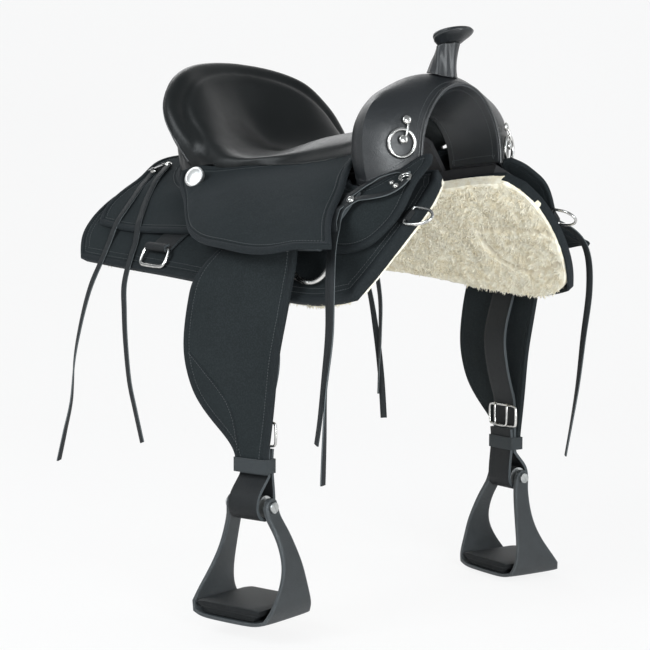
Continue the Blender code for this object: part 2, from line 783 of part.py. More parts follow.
SEAT_SIDE = [(-0.1065, 0.1745, 0.058), (-0.075, 0.173, 0.060), (-0.040, 0.166, 0.061),
             (0.020, 0.144, 0.064), (0.08, 0.121, 0.070), (0.14, 0.101, 0.078), (0.185, 0.090, 0.088),
             (SEAT_FRONT_X, 0.086, 0.094)]
SEAT_FRONT = [(SEAT_FRONT_X, 0.086, 0.094), (SEAT_FRONT_X, 0.050, 0.121), (SEAT_FRONT_X, 0, 0.136)]
SEAT_RIDGE = [(-0.216, 0.223), (-0.206, 0.188), (-0.192, 0.150), (-0.172, 0.115), (-0.145, 0.091),
              (-0.11, 0.079), (-0.06, 0.077), (0.0, 0.086), (0.06, 0.096), (0.12, 0.104), (0.17, 0.116),
              (SEAT_FRONT_X, 0.136)]


def mirrored(half):
    """A left half line starting on the middle plane, with its mirror image before it."""
    return [(x, -y, z) for x, y, z in half[:0:-1]] + list(half)


def seat_top(rows=16, half=7):
    """The seat's upper surface: rows from the cantle's lip to the fork, right to left."""
    back = spread(mirrored(LIP), 2 * half + 1)
    grid = []
    side_line = spread(SEAT_SIDE, rows)
    ridge = spread(SEAT_RIDGE, rows)
    front = spread([(x, y, z) for x, y, z in SEAT_FRONT[::-1]], half + 1)
    for r in range(rows):
        t = r / (rows - 1)
        line = []
        edge, middle = side_line[r], (ridge[r][0], 0.0, ridge[r][1])
        for c in range(-half, half + 1):
            u = abs(c) / half
            hand = 1 if c >= 0 else -1
            back_point = back[c + half]
            back_edge, back_middle = back[2 * half], back[half]
            front_point = front[abs(c)]
            front_edge, front_middle = front[half], front[0]
            place = []
            for k in range(3):
                sign = hand if k == 1 else 1
                across = middle[k] + (sign * edge[k] - middle[k]) * u
                rear_flat = back_middle[k] + (sign * abs(back_edge[k]) - back_middle[k]) * u \
                    if k == 1 else back_middle[k] + (back_edge[k] - back_middle[k]) * u
                front_flat = front_middle[k] + (sign * front_edge[k] - front_middle[k]) * u
                rear_extra = back_point[k] - rear_flat
                front_extra = sign * front_point[k] - front_flat if k == 1 else front_point[k] - front_flat
                fade = (1 - t) ** 2.2
                place.append(across + rear_extra * fade + front_extra * t ** 4)
            crown = 0.010 * math.sin(math.pi * min(1.0, max(0.0, (t - 0.35) / 0.65))) * (1 - u * u) * u
            dish = -0.012 * math.sin(math.pi * min(1.0, t / 0.75)) * 4 * u * (1 - u)
            place[2] += crown * 2 + dish * hump(t, 0.35, 0.1, 0.25)
            line.append(Vector(place))
        grid.append(line)
    return grid


def grid_normals(grid):
    rows, columns = len(grid), len(grid[0])
    normals = []
    for r in range(rows):
        line = []
        for c in range(columns):
            down = grid[min(r + 1, rows - 1)][c] - grid[max(r - 1, 0)][c]
            across = grid[r][min(c + 1, columns - 1)] - grid[r][max(c - 1, 0)]
            normal = down.cross(across).normalized()
            line.append(normal)
        normals.append(line)
    return normals


def make_seat():
    top = seat_top()
    normals = grid_normals(top)
    rows, columns = len(top), len(top[0])
    lower = []
    for r in range(rows):
        line = []
        for c in range(columns):
            u = abs(c - columns // 2) / (columns // 2)
            t = r / (rows - 1)
            edge = max(ramp(u, 0.72, 1.0), 1 - ramp(t, 0.0, 0.14))
            thick = PAD_THICK + (PAD_EDGE_THICK - PAD_THICK) * edge
            normal = normals[r][c].copy()
            if r == rows - 1:
                normal.x = 0
                normal.normalize()
            line.append(top[r][c] - normal * thick)
        lower.append(line)
    slab("seat_pad", top, lower, SMOOTH_LEATHER)
    shell_grid = []
    first, last = 2, columns - 3
    for r in (*range(1, rows // 2), *range(rows // 2, rows - 2, 2), rows - 2):
        line = []
        for c in range(first, last + 1):
            below = PAD_THICK + PLY_GAP * 3.5
            line.append(top[r][c] - normals[r][c] * below)
        left, right = line[-1], line[0]
        if left.x > -0.15:
            feet = []
            for edge in (right, left):
                hand = 1 if edge.y > 0 else -1
                reach = min(max(abs(edge.y) + 0.004, 0.088), 0.142)
                foot_z = over(edge.x, reach, BAR_TOP + SHELL_THICK)
                feet.append(Vector((edge.x, hand * reach, foot_z)))
            line = [feet[0], between_points(feet[0], right, 0.5)] + line + [
                between_points(left, feet[1], 0.5), feet[1]]
        else:
            hand_right = line[0] + (line[0] - line[1]) * 0.25
            hand_left = line[-1] + (line[-1] - line[-2]) * 0.25
            line = [line[0] + (line[0] - line[1]) * 0.5, hand_right] + line + [
                hand_left, line[-1] + (line[-1] - line[-2]) * 0.5]
        shell_grid.append(line)
    sheet("tree_seat_shell", shell_grid, TREE_SHELL, SHELL_THICK)


def between_points(a, b, t):
    return a + (b - a) * t


CANTLE_REACH = 0.90
CANTLE_COLUMNS = 23


def make_cantle():
    count = CANTLE_COLUMNS
    rim, lip = spread(mirrored(RIM), count), spread(mirrored(LIP), count)
    base_half = [(x, y, over(x, y, FORK_SEAT)) for x, y in CANTLE_BASE]
    base = spread(mirrored(base_half), count)
    grid = []
    for low, outer, inner in zip(base, rim, lip):
        low, outer, inner = Vector(low), Vector(outer), Vector(inner)
        height = (outer - low).length
        roll = (inner - outer)
        flat = Vector((roll.x, roll.y, 0)).normalized()
        line = [low, low.lerp(outer, 0.35) + flat * 0.004, low.lerp(outer, 0.70) + flat * 0.008]
        under = outer.lerp(low, min(0.016 / height, 0.3)) + flat * 0.006
        line += [under, outer - flat * 0.001 - Vector((0, 0, 0.005)), outer + Vector((0, 0, 0.003))]
        line += [outer.lerp(inner, 0.30) + Vector((0, 0, 0.0075)),
                 outer.lerp(inner, 0.65) + Vector((0, 0, 0.0060)), outer.lerp(inner, CANTLE_REACH)]
        grid.append(line)
    sheet("cantle_cover", grid, SMOOTH_LEATHER, CANTLE_COVER_THICK, flip=True, even=False)


# Seat jockeys

SEAT_JOCKEY_UNDER = (-0.0090, -0.0150)
SEAT_JOCKEY_ENDS = [(-0.132, 0.1915, 0.041), (-0.112, 0.183, 0.050)], [(0.2035, 0.094, 0.078)]
SEAT_JOCKEY_LOW = [(-0.004, 0.272, -0.060), (0.050, 0.292, -0.072), (0.122, 0.312, -0.0785),
                   (0.180, 0.320, -0.0849), (0.2296, 0.322, -0.0857), (0.268, 0.319, -0.081),
                   (0.2899, 0.314, -0.0769), (0.3085, 0.305, -0.0781), (0.3207, 0.298, -0.082),
                   (0.3226, 0.285, -0.0782)]
SEAT_JOCKEY_REAR = [(-0.132, 0.1915, 0.041), (-0.122, 0.204, 0.016), (-0.090, 0.219, -0.003),
                    (-0.060, 0.238, -0.024), (-0.035, 0.254, -0.043), (-0.004, 0.272, -0.060)]
SEAT_JOCKEY_FRONT = [(0.2035, 0.094, 0.078), (0.2035, 0.137, 0.040), (0.232, 0.175, 0.004),
                     (0.250, 0.212, -0.024), (0.282, 0.250, -0.049), (0.3226, 0.285, -0.0782)]
SEAT_JOCKEY_BULGE = 0.030
CONCHO_RADIUS = 0.0175
CONCHO_THICK = 0.004
CONCHO_SHIFT = 0.45


def make_seat_jockey(side_name, hand):
    rows, columns = 9, 14
    inset_y, drop_z = SEAT_JOCKEY_UNDER
    seam = [(x, y + inset_y, z + drop_z) for x, y, z in SEAT_SIDE[1:-1]]
    top = spread(SEAT_JOCKEY_ENDS[0] + seam + SEAT_JOCKEY_ENDS[1], columns)
    low = spread(SEAT_JOCKEY_LOW, columns)
    rear, front = spread(SEAT_JOCKEY_REAR, rows), spread(SEAT_JOCKEY_FRONT, rows)
    grid = []
    for r in range(rows):
        v = r / (rows - 1)
        line = []
        for c in range(columns):
            u = c / (columns - 1)
            ruled = [a + (b - a) * v for a, b in zip(top[c], low[c])]
            ends = [a + (b - a) * u for a, b in zip(rear[r], front[r])]
            corners = [
                (top[0][k] * (1 - u) + top[-1][k] * u) * (1 - v) + (low[0][k] * (1 - u) + low[-1][k] * u) * v
                for k in range(3)]
            place = Vector([a + b - c0 for a, b, c0 in zip(ruled, ends, corners)])
            bulge = SEAT_JOCKEY_BULGE * math.sin(math.pi * v ** 1.15) * math.sin(math.pi * u) ** 0.7
            place += Vector((0, 0.64, 0.77)) * bulge
            place.y *= hand
            line.append(place)
        grid.append(line)
    sheet(f"{side_name}_seat_jockey", grid, WOVEN, JOCKEY_THICK, flip=hand == RIGHT)
    spot = between_points(grid[2][2], grid[1][1], CONCHO_SHIFT)
    out = (grid[2][4] - grid[2][0]).cross(grid[4][2] - grid[0][2]).normalized()
    if out.z < 0:
        out = -out
    up = (grid[0][2] - grid[4][2]).normalized()
    reach = CONCHO_RADIUS * 0.9
    spot = rest_on(bpy.data.objects[f"{side_name}_seat_jockey"], spot, up, out, reach, reach)
    concho = primitive(f"{side_name}_seat_concho", NICKEL, bpy.ops.mesh.primitive_cylinder_add, vertices=20,
                       radius=CONCHO_RADIUS, depth=CONCHO_THICK)
    turn = out.to_track_quat("Z", "Y").to_matrix().to_4x4()
    concho.data.transform(Matrix.Translation(spot + out * CONCHO_THICK / 2) @ turn)
    bevel(concho, 0.0015)


# Hung pieces: places are (along, out, up) about the hinge on the bar's edge

def hung(along_x, out, up, hand):
    """From the hanging pieces' own directions, turned in at the toe, to the saddle's."""
    c, s = math.cos(TOE_IN), math.sin(TOE_IN)
    beyond = out - FENDER_OUT
    return Vector((LEATHER_X + along_x * c + beyond * s,
                   hand * (HINGE_REACH + FENDER_OUT - along_x * s + beyond * c), HINGE_LEVEL + up))


TOE_IN = math.radians(10)
FENDER_OUT = LEATHER_BARREL + FENDER_CLEAR - HINGE_REACH
FENDER_REAR = [(-0.054, -0.066), (-0.0869, -0.0745), (-0.1009, -0.098), (-0.1152, -0.124), (-0.1256, -0.162),
               (-0.1318, -0.197), (-0.1342, -0.2265), (-0.1283, -0.255), (-0.1164, -0.287),
               (-0.0946, -0.314), (-0.0709, -0.335), (-0.0440, -0.3565), (-0.0285, -0.3745),
               (-0.0265, -0.402)]
FENDER_FRONT = [(0.058, -0.060), (0.0850, -0.0745), (0.0795, -0.103), (0.0734, -0.128), (0.0679, -0.152),
                (0.0606, -0.183), (0.0533, -0.211), (0.0476, -0.239), (0.0439, -0.267), (0.0415, -0.290),
                (0.0375, -0.320), (0.0330, -0.350), (0.0285, -0.375), (0.0265, -0.402)]


def drop(hand):
    return LEFT_HOLE_DROP if hand == LEFT else 0.0


def hang(made, hand, up=0.0, out=0.0):
    """Put an object's origin on the hinge line without moving it."""
    pivot = hung(0, out, up, hand)
    made.data.transform(Matrix.Translation(-pivot))
    made.location = pivot
    return made


def make_fender(side_name, hand):
    rows = 15
    rear, front = spread(FENDER_REAR, rows), spread(FENDER_FRONT, rows)
    grid = []
    for a, b in zip(rear, front):
        line = []
        for c in range(7):
            x, z = between(a, b, c / 6)
            lean = FENDER_OUT - (0.94 - 0.12 * c) * max(0.0, z - drop(hand) + 0.114 - 0.006 * c)
            curve = 0.0025 * (1 - (2 * c / 6 - 1) ** 2)
            line.append(hung(x, lean - FENDER_THICK / 2 + curve, z - drop(hand), hand))
        grid.append(line)
    fender = sheet(f"{side_name}_fender", grid, WOVEN, FENDER_THICK, flip=hand == RIGHT)
    hang(fender, hand)


def strap(name, path, width, thickness, hand, finish, across=3, flip=False):
    """A strap along a path of (out, up) places, centred on the leathers."""
    grid = []
    for out, up in path:
        grid.append([hung(width * (c / (across - 1) - 0.5), out, up, hand) for c in range(across)])
    made = sheet(name, grid, finish, thickness, flip=flip)
    made.modifiers["thickness"].offset = 0
    return hang(made, hand)


BUCKLE_UP = -0.345
BUCKLE_SIZE = (0.070, 0.036)
BUCKLE_WIRE = 0.002
TONGUE_WIRE = 0.0018
STRAP_OUT = FENDER_OUT - FENDER_THICK / 2 - PLY_GAP - LEATHER_THICK / 2
BUCKLE_OUT = STRAP_OUT - LEATHER_THICK / 2 - PLY_GAP - BUCKLE_WIRE
TONGUE_OUT = BUCKLE_OUT - BUCKLE_WIRE - TONGUE_WIRE - NEST_GAP
STRAP_END = -0.362
BOLT_UP = BOLT_LEVEL - HINGE_LEVEL
BOLT_OUT = BOLT_REACH - HINGE_REACH
LOOP_RADIUS = ROLLER_RADIUS + PLY_GAP + LOOP_THICK / 2


def make_leathers(side_name, hand):
    fall = drop(hand)
    path = [(0.0, 0.015), (0.0, 0.0), (0.0, -0.011)]
    over_bar = [(0.026, -0.0185), (0.1215, -0.0225), (0.3472, -0.029), (0.6944, -0.057), (0.9028, -0.093)]
    belly = [(STRAP_OUT, -0.125), (STRAP_OUT - 0.25 * LEATHER_BELLY, -0.160),
             (STRAP_OUT - 0.85 * LEATHER_BELLY, -0.205), (STRAP_OUT - LEATHER_BELLY, -0.245),
             (STRAP_OUT - 0.5 * LEATHER_BELLY, -0.285 - fall), (STRAP_OUT, -0.318 - fall)]
    path += spread([(share * STRAP_OUT, up) for share, up in over_bar] + belly, 18)
    path += [(STRAP_OUT, STRAP_END - fall)]
    leather = strap(f"{side_name}_stirrup_leather", path, LEATHER_WIDTH, LEATHER_THICK, hand, STRAP_LEATHER)
    hole = rod(f"{side_name}_stud_hole", STRAP_LEATHER, hung(0, -0.02, 0, hand), hung(0, 0.02, 0, hand),
               STUD_RADIUS + STUD_PLAY)
    boolean(leather, hole, "DIFFERENCE")
    settle(leather)
    bolt = (BOLT_OUT, BOLT_UP - fall)
    outer = [(STRAP_OUT, STRAP_END - 0.0012 - fall), (STRAP_OUT, -0.392 - fall), (STRAP_OUT, -0.4065 - fall),
             (STRAP_OUT + 0.012, -0.420 - fall), (BOLT_OUT + LOOP_RADIUS - 0.0035, -0.433 - fall)]
    round_bolt = [
        (bolt[0] + LOOP_RADIUS * math.cos(turn), bolt[1] + LOOP_RADIUS * math.sin(turn))
        for turn in (math.radians(8 - 196 * k / 10) for k in range(11))
    ]
    inner = [(BOLT_OUT - LOOP_RADIUS + 0.0015, -0.427 - fall), (INNER_PLY_OUT - 0.001, -0.404 - fall),
             (INNER_PLY_OUT, -0.385 - fall), (TONGUE_OUT + 0.001, -0.3668 - fall)]
    strap(f"{side_name}_stirrup_loop", outer + round_bolt + inner, LOOP_WIDTH, LOOP_THICK, hand,
          STRAP_LEATHER)
    band(f"{side_name}_keeper_band", hand)
    make_buckle(side_name, hand)


INNER_PLY_OUT = STRAP_OUT - LOOP_THICK - 0.0015
KEEPER_UP = -0.3915
KEEPER_HEIGHT = 0.021
KEEPER_WALL = 0.002


def band(name, hand):
    half_width = LOOP_WIDTH / 2 + 0.0028
    inner_face = INNER_PLY_OUT - LOOP_THICK / 2 - 0.0012
    outer_face = FENDER_OUT + FENDER_THICK / 2 + 0.0030
    corner = 0.003
    rings = []
    for sx, so, start in ((1, 1, 0), (-1, 1, 90), (-1, -1, 180), (1, -1, 270)):
        for turn in (start, start + 45, start + 90):
            c, s = math.cos(math.radians(turn)), math.sin(math.radians(turn))
            x = sx * (half_width - corner) + corner * c
            out = (outer_face - corner if so > 0 else inner_face + corner) + corner * s
            ring = []
            for grow, up in ((0, -1), (KEEPER_WALL, -1), (KEEPER_WALL, 1), (0, 1)):
                ring.append(hung(x + grow * c, out + grow * s,
                                 KEEPER_UP - drop(hand) + up * KEEPER_HEIGHT / 2, hand))
            rings.append(ring)
    hang(loft(name, rings, WOVEN, closed=True), hand)


def make_buckle(side_name, hand):
    fall = drop(hand)
    across, high = BUCKLE_SIZE[0] / 2, BUCKLE_SIZE[1] / 2
    frame = []
    for sx, su, start in ((1, 1, 0), (-1, 1, 90), (-1, -1, 180), (1, -1, 270)):
        for turn in (start, start + 45, start + 90):
            c, s = math.cos(math.radians(turn)), math.sin(math.radians(turn))
            frame.append(hung(sx * (across - 0.006) + 0.006 * c, BUCKLE_OUT,
                              BUCKLE_UP - fall + su * (high - 0.006) + 0.006 * s, hand))
    hang(as_mesh(wire(f"{side_name}_buckle_frame", frame, BUCKLE_WIRE, NICKEL, closed=True)), hand)
    base = BUCKLE_UP - fall - high
    tongues = []
    for x, up in ((-0.016, high * 2 + 0.003), (-0.016, 0.004), (-0.013, 0.0), (0.013, 0.0), (0.016, 0.004),
                  (0.016, high * 2 + 0.003)):
        tongues.append(hung(x, TONGUE_OUT, base + up, hand))
    made = as_mesh(wire(f"{side_name}_buckle_tongues", tongues, TONGUE_WIRE, NICKEL))
    hang(made, hand, base, TONGUE_OUT)


# Stirrups

def stirrup_place(along_x, out, up, hand):
    return hung(along_x, BOLT_OUT + out, BOLT_UP - drop(hand) + up, hand)


EAR_HALF = 0.0355
ROLLER_HALF = 0.0260
EAR_THICK = 0.009
STIRRUP_ARM = [
    # along, up, centre out, width, thickness
    (EAR_HALF, 0.0128, 0.000, 0.008, EAR_THICK),
    (EAR_HALF, 0.0095, 0.000, 0.018, EAR_THICK),
    (EAR_HALF, 0.000, 0.000, 0.027, EAR_THICK),
    (EAR_HALF + 0.0010, -0.015, -0.003, 0.028, 0.0085),
    (0.0470, -0.036, -0.010, 0.030, 0.0075),
    (0.0570, -0.062, -0.014, 0.034, 0.007),
    (0.0655, -0.086, -0.014, 0.043, 0.007),
    (0.0705, -0.108, -0.009, 0.057, 0.007),
    (0.0735, -0.128, -0.003, 0.076, 0.007),
    (0.0735, -0.144, 0.001, 0.094, 0.0075),
    (0.0670, -0.156, 0.002, 0.104, 0.008),
    (0.0530, -0.161, 0.002, 0.108, 0.008),
    (0.0260, -0.1615, 0.002, 0.111, 0.008),
]


def make_stirrup(side_name, hand):
    half = STIRRUP_ARM
    path = list(half) + [(0.0, -0.1615, 0.002, 0.111, 0.008)]
    path += [(-a, u, n, w, t) for a, u, n, w, t in half[::-1]]
    rings = []
    for i, (a, up, out, width, thick) in enumerate(path):
        before, after = path[max(i - 1, 0)], path[min(i + 1, len(path) - 1)]
        da, du = after[0] - before[0], after[1] - before[1]
        size = math.hypot(da, du)
        na, nu = du / size, -da / size
        ring = []
        for side_sign, out_sign in ((1, 1), (1, -1), (-1, -1), (-1, 1)):
            corners = [(1.0, 0.90), (0.62, 1.0)]
            for shrink_t, shrink_w in corners if side_sign * out_sign < 0 else corners[::-1]:
                ring.append(stirrup_place(a + na * side_sign * thick / 2 * shrink_t,
                                          out + out_sign * width / 2 * shrink_w,
                                          up + nu * side_sign * thick / 2 * shrink_t, hand))
        rings.append(ring)
    frame = loft(f"{side_name}_stirrup_frame", rings, POLYMER)
    bore = rod(f"{side_name}_bolt_bore", POLYMER, stirrup_place(-0.07, 0, 0, hand),
               stirrup_place(0.07, 0, 0, hand), BOLT_RADIUS + 0.0004)
    boolean(frame, bore, "DIFFERENCE")
    pivot = hung(0, BOLT_OUT, BOLT_UP - drop(hand), hand)
    bpy.context.view_layer.update()
    bpy.context.view_layer.objects.active = frame
    settle(frame)
    frame.data.transform(Matrix.Translation(-pivot))
    frame.location = pivot
    make_tread(side_name, hand, pivot)
    make_bolt(side_name, hand, pivot)


def settle(made):
    """Apply an object's modifiers, keeping its name."""
    graph = bpy.context.evaluated_depsgraph_get()
    mesh = bpy.data.meshes.new_from_object(made.evaluated_get(graph))
    made.modifiers.clear()
    made.data = mesh
    return made


TREAD_FLAT = 0.036
TREAD_HALF = 0.058
TREAD_THICK = 0.019
TREAD_WIDTH = 0.112


def make_tread(side_name, hand, pivot):
    rings = []
    floor = -0.1615 + 0.004 + PLY_GAP
    for k in range(11):
        a = TREAD_HALF * (k / 5 - 1)
        end = ramp(abs(a), TREAD_FLAT, TREAD_HALF)
        top = floor + TREAD_THICK - 0.006 * end
        half = TREAD_WIDTH / 2 - 0.004 * end
        bottom = floor + 0.003 * (abs(a) > TREAD_HALF * 0.9)
        ring = [(half - 0.004, bottom), (half, bottom + 0.005), (half, top - 0.002), (half - 0.003, top),
                (-half + 0.003, top), (-half, top - 0.002), (-half, bottom + 0.005), (-half + 0.004, bottom)]
        rings.append([stirrup_place(a, out + 0.002, up, hand) for out, up in ring])
    tread = loft(f"{side_name}_stirrup_tread", rings, RUBBER)
    tread.data.transform(Matrix.Translation(-pivot))
    tread.location = pivot


def make_bolt(side_name, hand, pivot):
    ear = EAR_HALF + EAR_THICK / 2
    bolt = rod(f"{side_name}_stirrup_bolt", NICKEL, stirrup_place(-ear - 0.003, 0, 0, hand),
               stirrup_place(ear + 0.003, 0, 0, hand), BOLT_RADIUS)
    roller = rod(f"{side_name}_roller", NICKEL, stirrup_place(-ROLLER_HALF, 0, 0, hand),
                 stirrup_place(ROLLER_HALF, 0, 0, hand), ROLLER_RADIUS, 16)
    boolean(bolt, roller, "UNION")
    for end in (-1, 1):
        head = rod(f"{side_name}_bolt_head_{'front' if end > 0 else 'rear'}", NICKEL,
                   stirrup_place(end * (ear + PLY_GAP), 0, 0, hand),
                   stirrup_place(end * (ear + PLY_GAP + 0.0035), 0, 0, hand), BOLT_HEAD_RADIUS)
        boolean(bolt, head, "UNION")
        slot_low = stirrup_place(end * (ear + 0.0035), 0, 0, hand)
        slot = box(f"{side_name}_bolt_slot_{'front' if end > 0 else 'rear'}", NICKEL, (0, -0.001, -0.011),
                   (0.006, 0.001, 0.011))
        turn = Matrix.Rotation(-hand * TOE_IN + (math.pi if end < 0 else 0), 4, "Z")
        turn = turn @ Matrix.Rotation(0.5, 4, "X")
        slot.data.transform(Matrix.Translation(slot_low) @ turn)
        boolean(bolt, slot, "DIFFERENCE")
    settle(bolt)
    bolt.data.transform(Matrix.Translation(-pivot))
    bolt.location = pivot


# Rings, dees and plates

def shift_origin(made, pivot):
    made.data.transform(Matrix.Translation(-pivot))
    made.location = pivot
    return made


FRONT_DEE_X = 0.242
FRONT_DEE_CLEAR = 0.0075
FRONT_DEE_REACH = along(FRONT_DEE_X, *BARREL_REACH) + FRONT_DEE_CLEAR
FRONT_DEE_Z = -0.073
RIG_STRAP_WIDTH = 0.040
RIG_STRAP_THICK = 0.004
RIG_STRAP_GIRTH = (0.46, 0.53)


def make_front_rigging(side_name, hand):
    c, s = math.cos(TOE_IN), math.sin(TOE_IN)

    def place(a, out, up):
        return Vector((FRONT_DEE_X + a * c + out * s, hand * (FRONT_DEE_REACH - a * s + out * c),
                       FRONT_DEE_Z + up))
    half, deep, corner = FRONT_DEE_WIDTH / 2, FRONT_DEE_HEIGHT, 0.009
    points = [place(-half + corner, 0, 0), place(0, 0, 0), place(half - corner, 0, 0)]
    for k in range(13):
        turn = math.radians(6 - 192 * k / 12)
        points.append(place(half * math.cos(turn), 0, -corner + (deep - corner) * math.sin(turn)))
    dee = as_mesh(wire(f"{side_name}_front_rigging_dee", points, FRONT_DEE_WIRE, NICKEL, closed=True))
    shift_origin(dee, place(0, 0, 0))
    eye = FRONT_DEE_WIRE + 0.0008 + RIG_STRAP_THICK / 2
    wrap = []
    for k in range(10):
        turn = math.radians(150 - 280 * k / 9)
        wrap.append((eye * math.cos(turn), eye * math.sin(turn)))
    grid = []
    steps = 4
    columns = []
    for across in (-0.5, 0.0, 0.5):
        a = across * RIG_STRAP_WIDTH
        run = []
        for k in range(steps):
            girth = RIG_STRAP_GIRTH[0] + (RIG_STRAP_GIRTH[1] - RIG_STRAP_GIRTH[0]) * k / (steps - 1)
            spot = (FRONT_DEE_X + a, girth)
            rise = jockey_lift(spot) + JOCKEY_THICK + PLY_GAP * 2.5 + RIG_STRAP_THICK / 2
            run.append(tuple(side(spot, rise, hand)))
        columns.append(spread(run + [tuple(place(a, *wrap[0]))], 8)[:-1] + [place(a, *w) for w in wrap])
    grid = [list(line) for line in zip(*columns)]
    made = sheet(f"{side_name}_front_rigging_strap", grid, STRAP_LEATHER, RIG_STRAP_THICK)
    made.modifiers["thickness"].offset = 0


def make_rear_rigging(side_name, hand):
    girths = [REAR_STRAP_GIRTH[0] + (REAR_STRAP_GIRTH[1] - REAR_STRAP_GIRTH[0]) * k / 5 for k in range(6)]
    lift = SKIRT_TOP + PLY_GAP

    def at(girth, across, height):
        t = (girth - REAR_STRAP_GIRTH[0]) / (REAR_STRAP_GIRTH[1] - REAR_STRAP_GIRTH[0])
        x = REAR_STRAP_X[0] + (REAR_STRAP_X[1] - REAR_STRAP_X[0]) * t
        return side((x + across, girth), height, hand)
    middle = lift + REAR_STRAP_THICK / 2
    rows = []
    for girth in girths:
        rows.append([at(girth, REAR_STRAP_WIDTH * (c / 2 - 0.5), middle) for c in range(3)])
    end = rows[-1][1]
    down = (rows[-1][1] - rows[-2][1]).normalized()
    out = outward((REAR_STRAP_X[1], REAR_STRAP_GIRTH[1]), hand)
    eye_radius = REAR_DEE_WIRE + 0.0008 + REAR_STRAP_THICK / 2
    centre = end + out * eye_radius + down * 0.003
    for k in range(9):
        turn = math.radians(-90 + 250 * k / 8)
        step = down * math.cos(turn) * eye_radius + out * math.sin(turn) * eye_radius
        rows.append([p + (centre + step - end) for p in rows[5]])
    made = sheet(f"{side_name}_rear_dee_strap", rows, STRAP_LEATHER, REAR_STRAP_THICK, flip=hand == LEFT)
    made.modifiers["thickness"].offset = 0
    across = (rows[5][2] - rows[5][0]).normalized()
    wide, high, corner = REAR_DEE_WIDTH / 2, REAR_DEE_HEIGHT, 0.010
    plan = [(-wide + 0.004, 0), (0, 0), (wide - 0.004, 0)]
    for sx, start in ((1, 0), (-1, 90)):
        if sx > 0:
            plan.append((wide, -0.005))
        for turn in (start, start + 30, start + 60, start + 90):
            plan.append((sx * (wide - corner) + corner * math.cos(math.radians(-turn)),
                         -high + corner + corner * math.sin(math.radians(-turn))))
    plan.append((-wide, -0.005))
    fall = None
    for step in range(1, 9):
        spot = side((REAR_STRAP_X[1], REAR_STRAP_GIRTH[1] + 0.02 * step),
                    SKIRT_TOP + REAR_DEE_WIRE + 0.001, hand)
        way = spot - centre
        way = (way - across * way.dot(across)).normalized()
        if fall is None or way.dot(out) > fall.dot(out):
            fall = way
    points = [centre + across * a - fall * b for a, b in plan]
    dee = as_mesh(wire(f"{side_name}_rear_rigging_dee", points, REAR_DEE_WIRE, NICKEL, closed=True))
    shift_origin(dee, centre)


def make_breast_dee(side_name, hand):
    base = (BREAST_DEE_X, BREAST_DEE_GIRTH)
    out = outward(base, hand)
    along_girth = (side((BREAST_DEE_X, BREAST_DEE_GIRTH + 0.03), 0.02, hand)
                   - side((BREAST_DEE_X, BREAST_DEE_GIRTH - 0.03), 0.02, hand)).normalized()
    forward = out.cross(along_girth).normalized()
    if forward.x < 0:
        forward = -forward
    skirt = bpy.data.objects[f"{side_name}_skirt"]
    centre = rest_on(skirt, side(base, 0, hand), along_girth, out, BREAST_DEE_WIDTH / 2, BREAST_DEE_WIRE)
    centre += out * BREAST_DEE_WIRE
    wide, deep = BREAST_DEE_WIDTH / 2, BREAST_DEE_HEIGHT
    plan = [(-wide + 0.003, 0), (0, 0), (wide - 0.003, 0), (wide, 0.003)]
    plan += [((wide * 0.92) * math.cos(math.radians(t)),
              deep * 0.45 + deep * 0.55 * math.sin(math.radians(t)))
             for t in (10, 40, 70, 90, 110, 140, 170)]
    plan += [(-wide, 0.003)]
    forward = forward * math.cos(BREAST_DEE_TILT) + out * math.sin(BREAST_DEE_TILT)
    points = [centre + along_girth * a + forward * b for a, b in plan]
    as_mesh(wire(f"{side_name}_breast_dee", points, BREAST_DEE_WIRE, NICKEL, closed=True))


CLIP_ANGLE = math.radians(23.5)
CLIP_STEP = 7.3
CLIP_SIZE = (0.010, 0.032, 0.0016)
SCREW_RADIUS = 0.0032
SCREW_RISE = 0.0014


def oriented(spot, up, out):
    """A matrix whose Y runs up the surface and Z straight out of it."""
    across = up.cross(out).normalized()
    turn = Matrix((across, out.cross(across), out)).transposed().to_4x4()
    return Matrix.Translation(spot) @ turn


def plate_with_screws(name, frame, size, finish):
    """A flat plate lying on its frame's XY plane, with a screw near each end."""
    wide, high, thick = size
    plate = box(name, finish, (-wide / 2, -high / 2, 0), (wide / 2, high / 2, thick))
    for end in (-1, 1):
        screw = rod(f"{name}_screw_{'low' if end < 0 else 'high'}", finish,
                    (0, end * (high / 2 - 0.0055), 0.0005),
                    (0, end * (high / 2 - 0.0055), thick + SCREW_RISE), SCREW_RADIUS, 12)
        boolean(plate, screw, "UNION")
    return plate


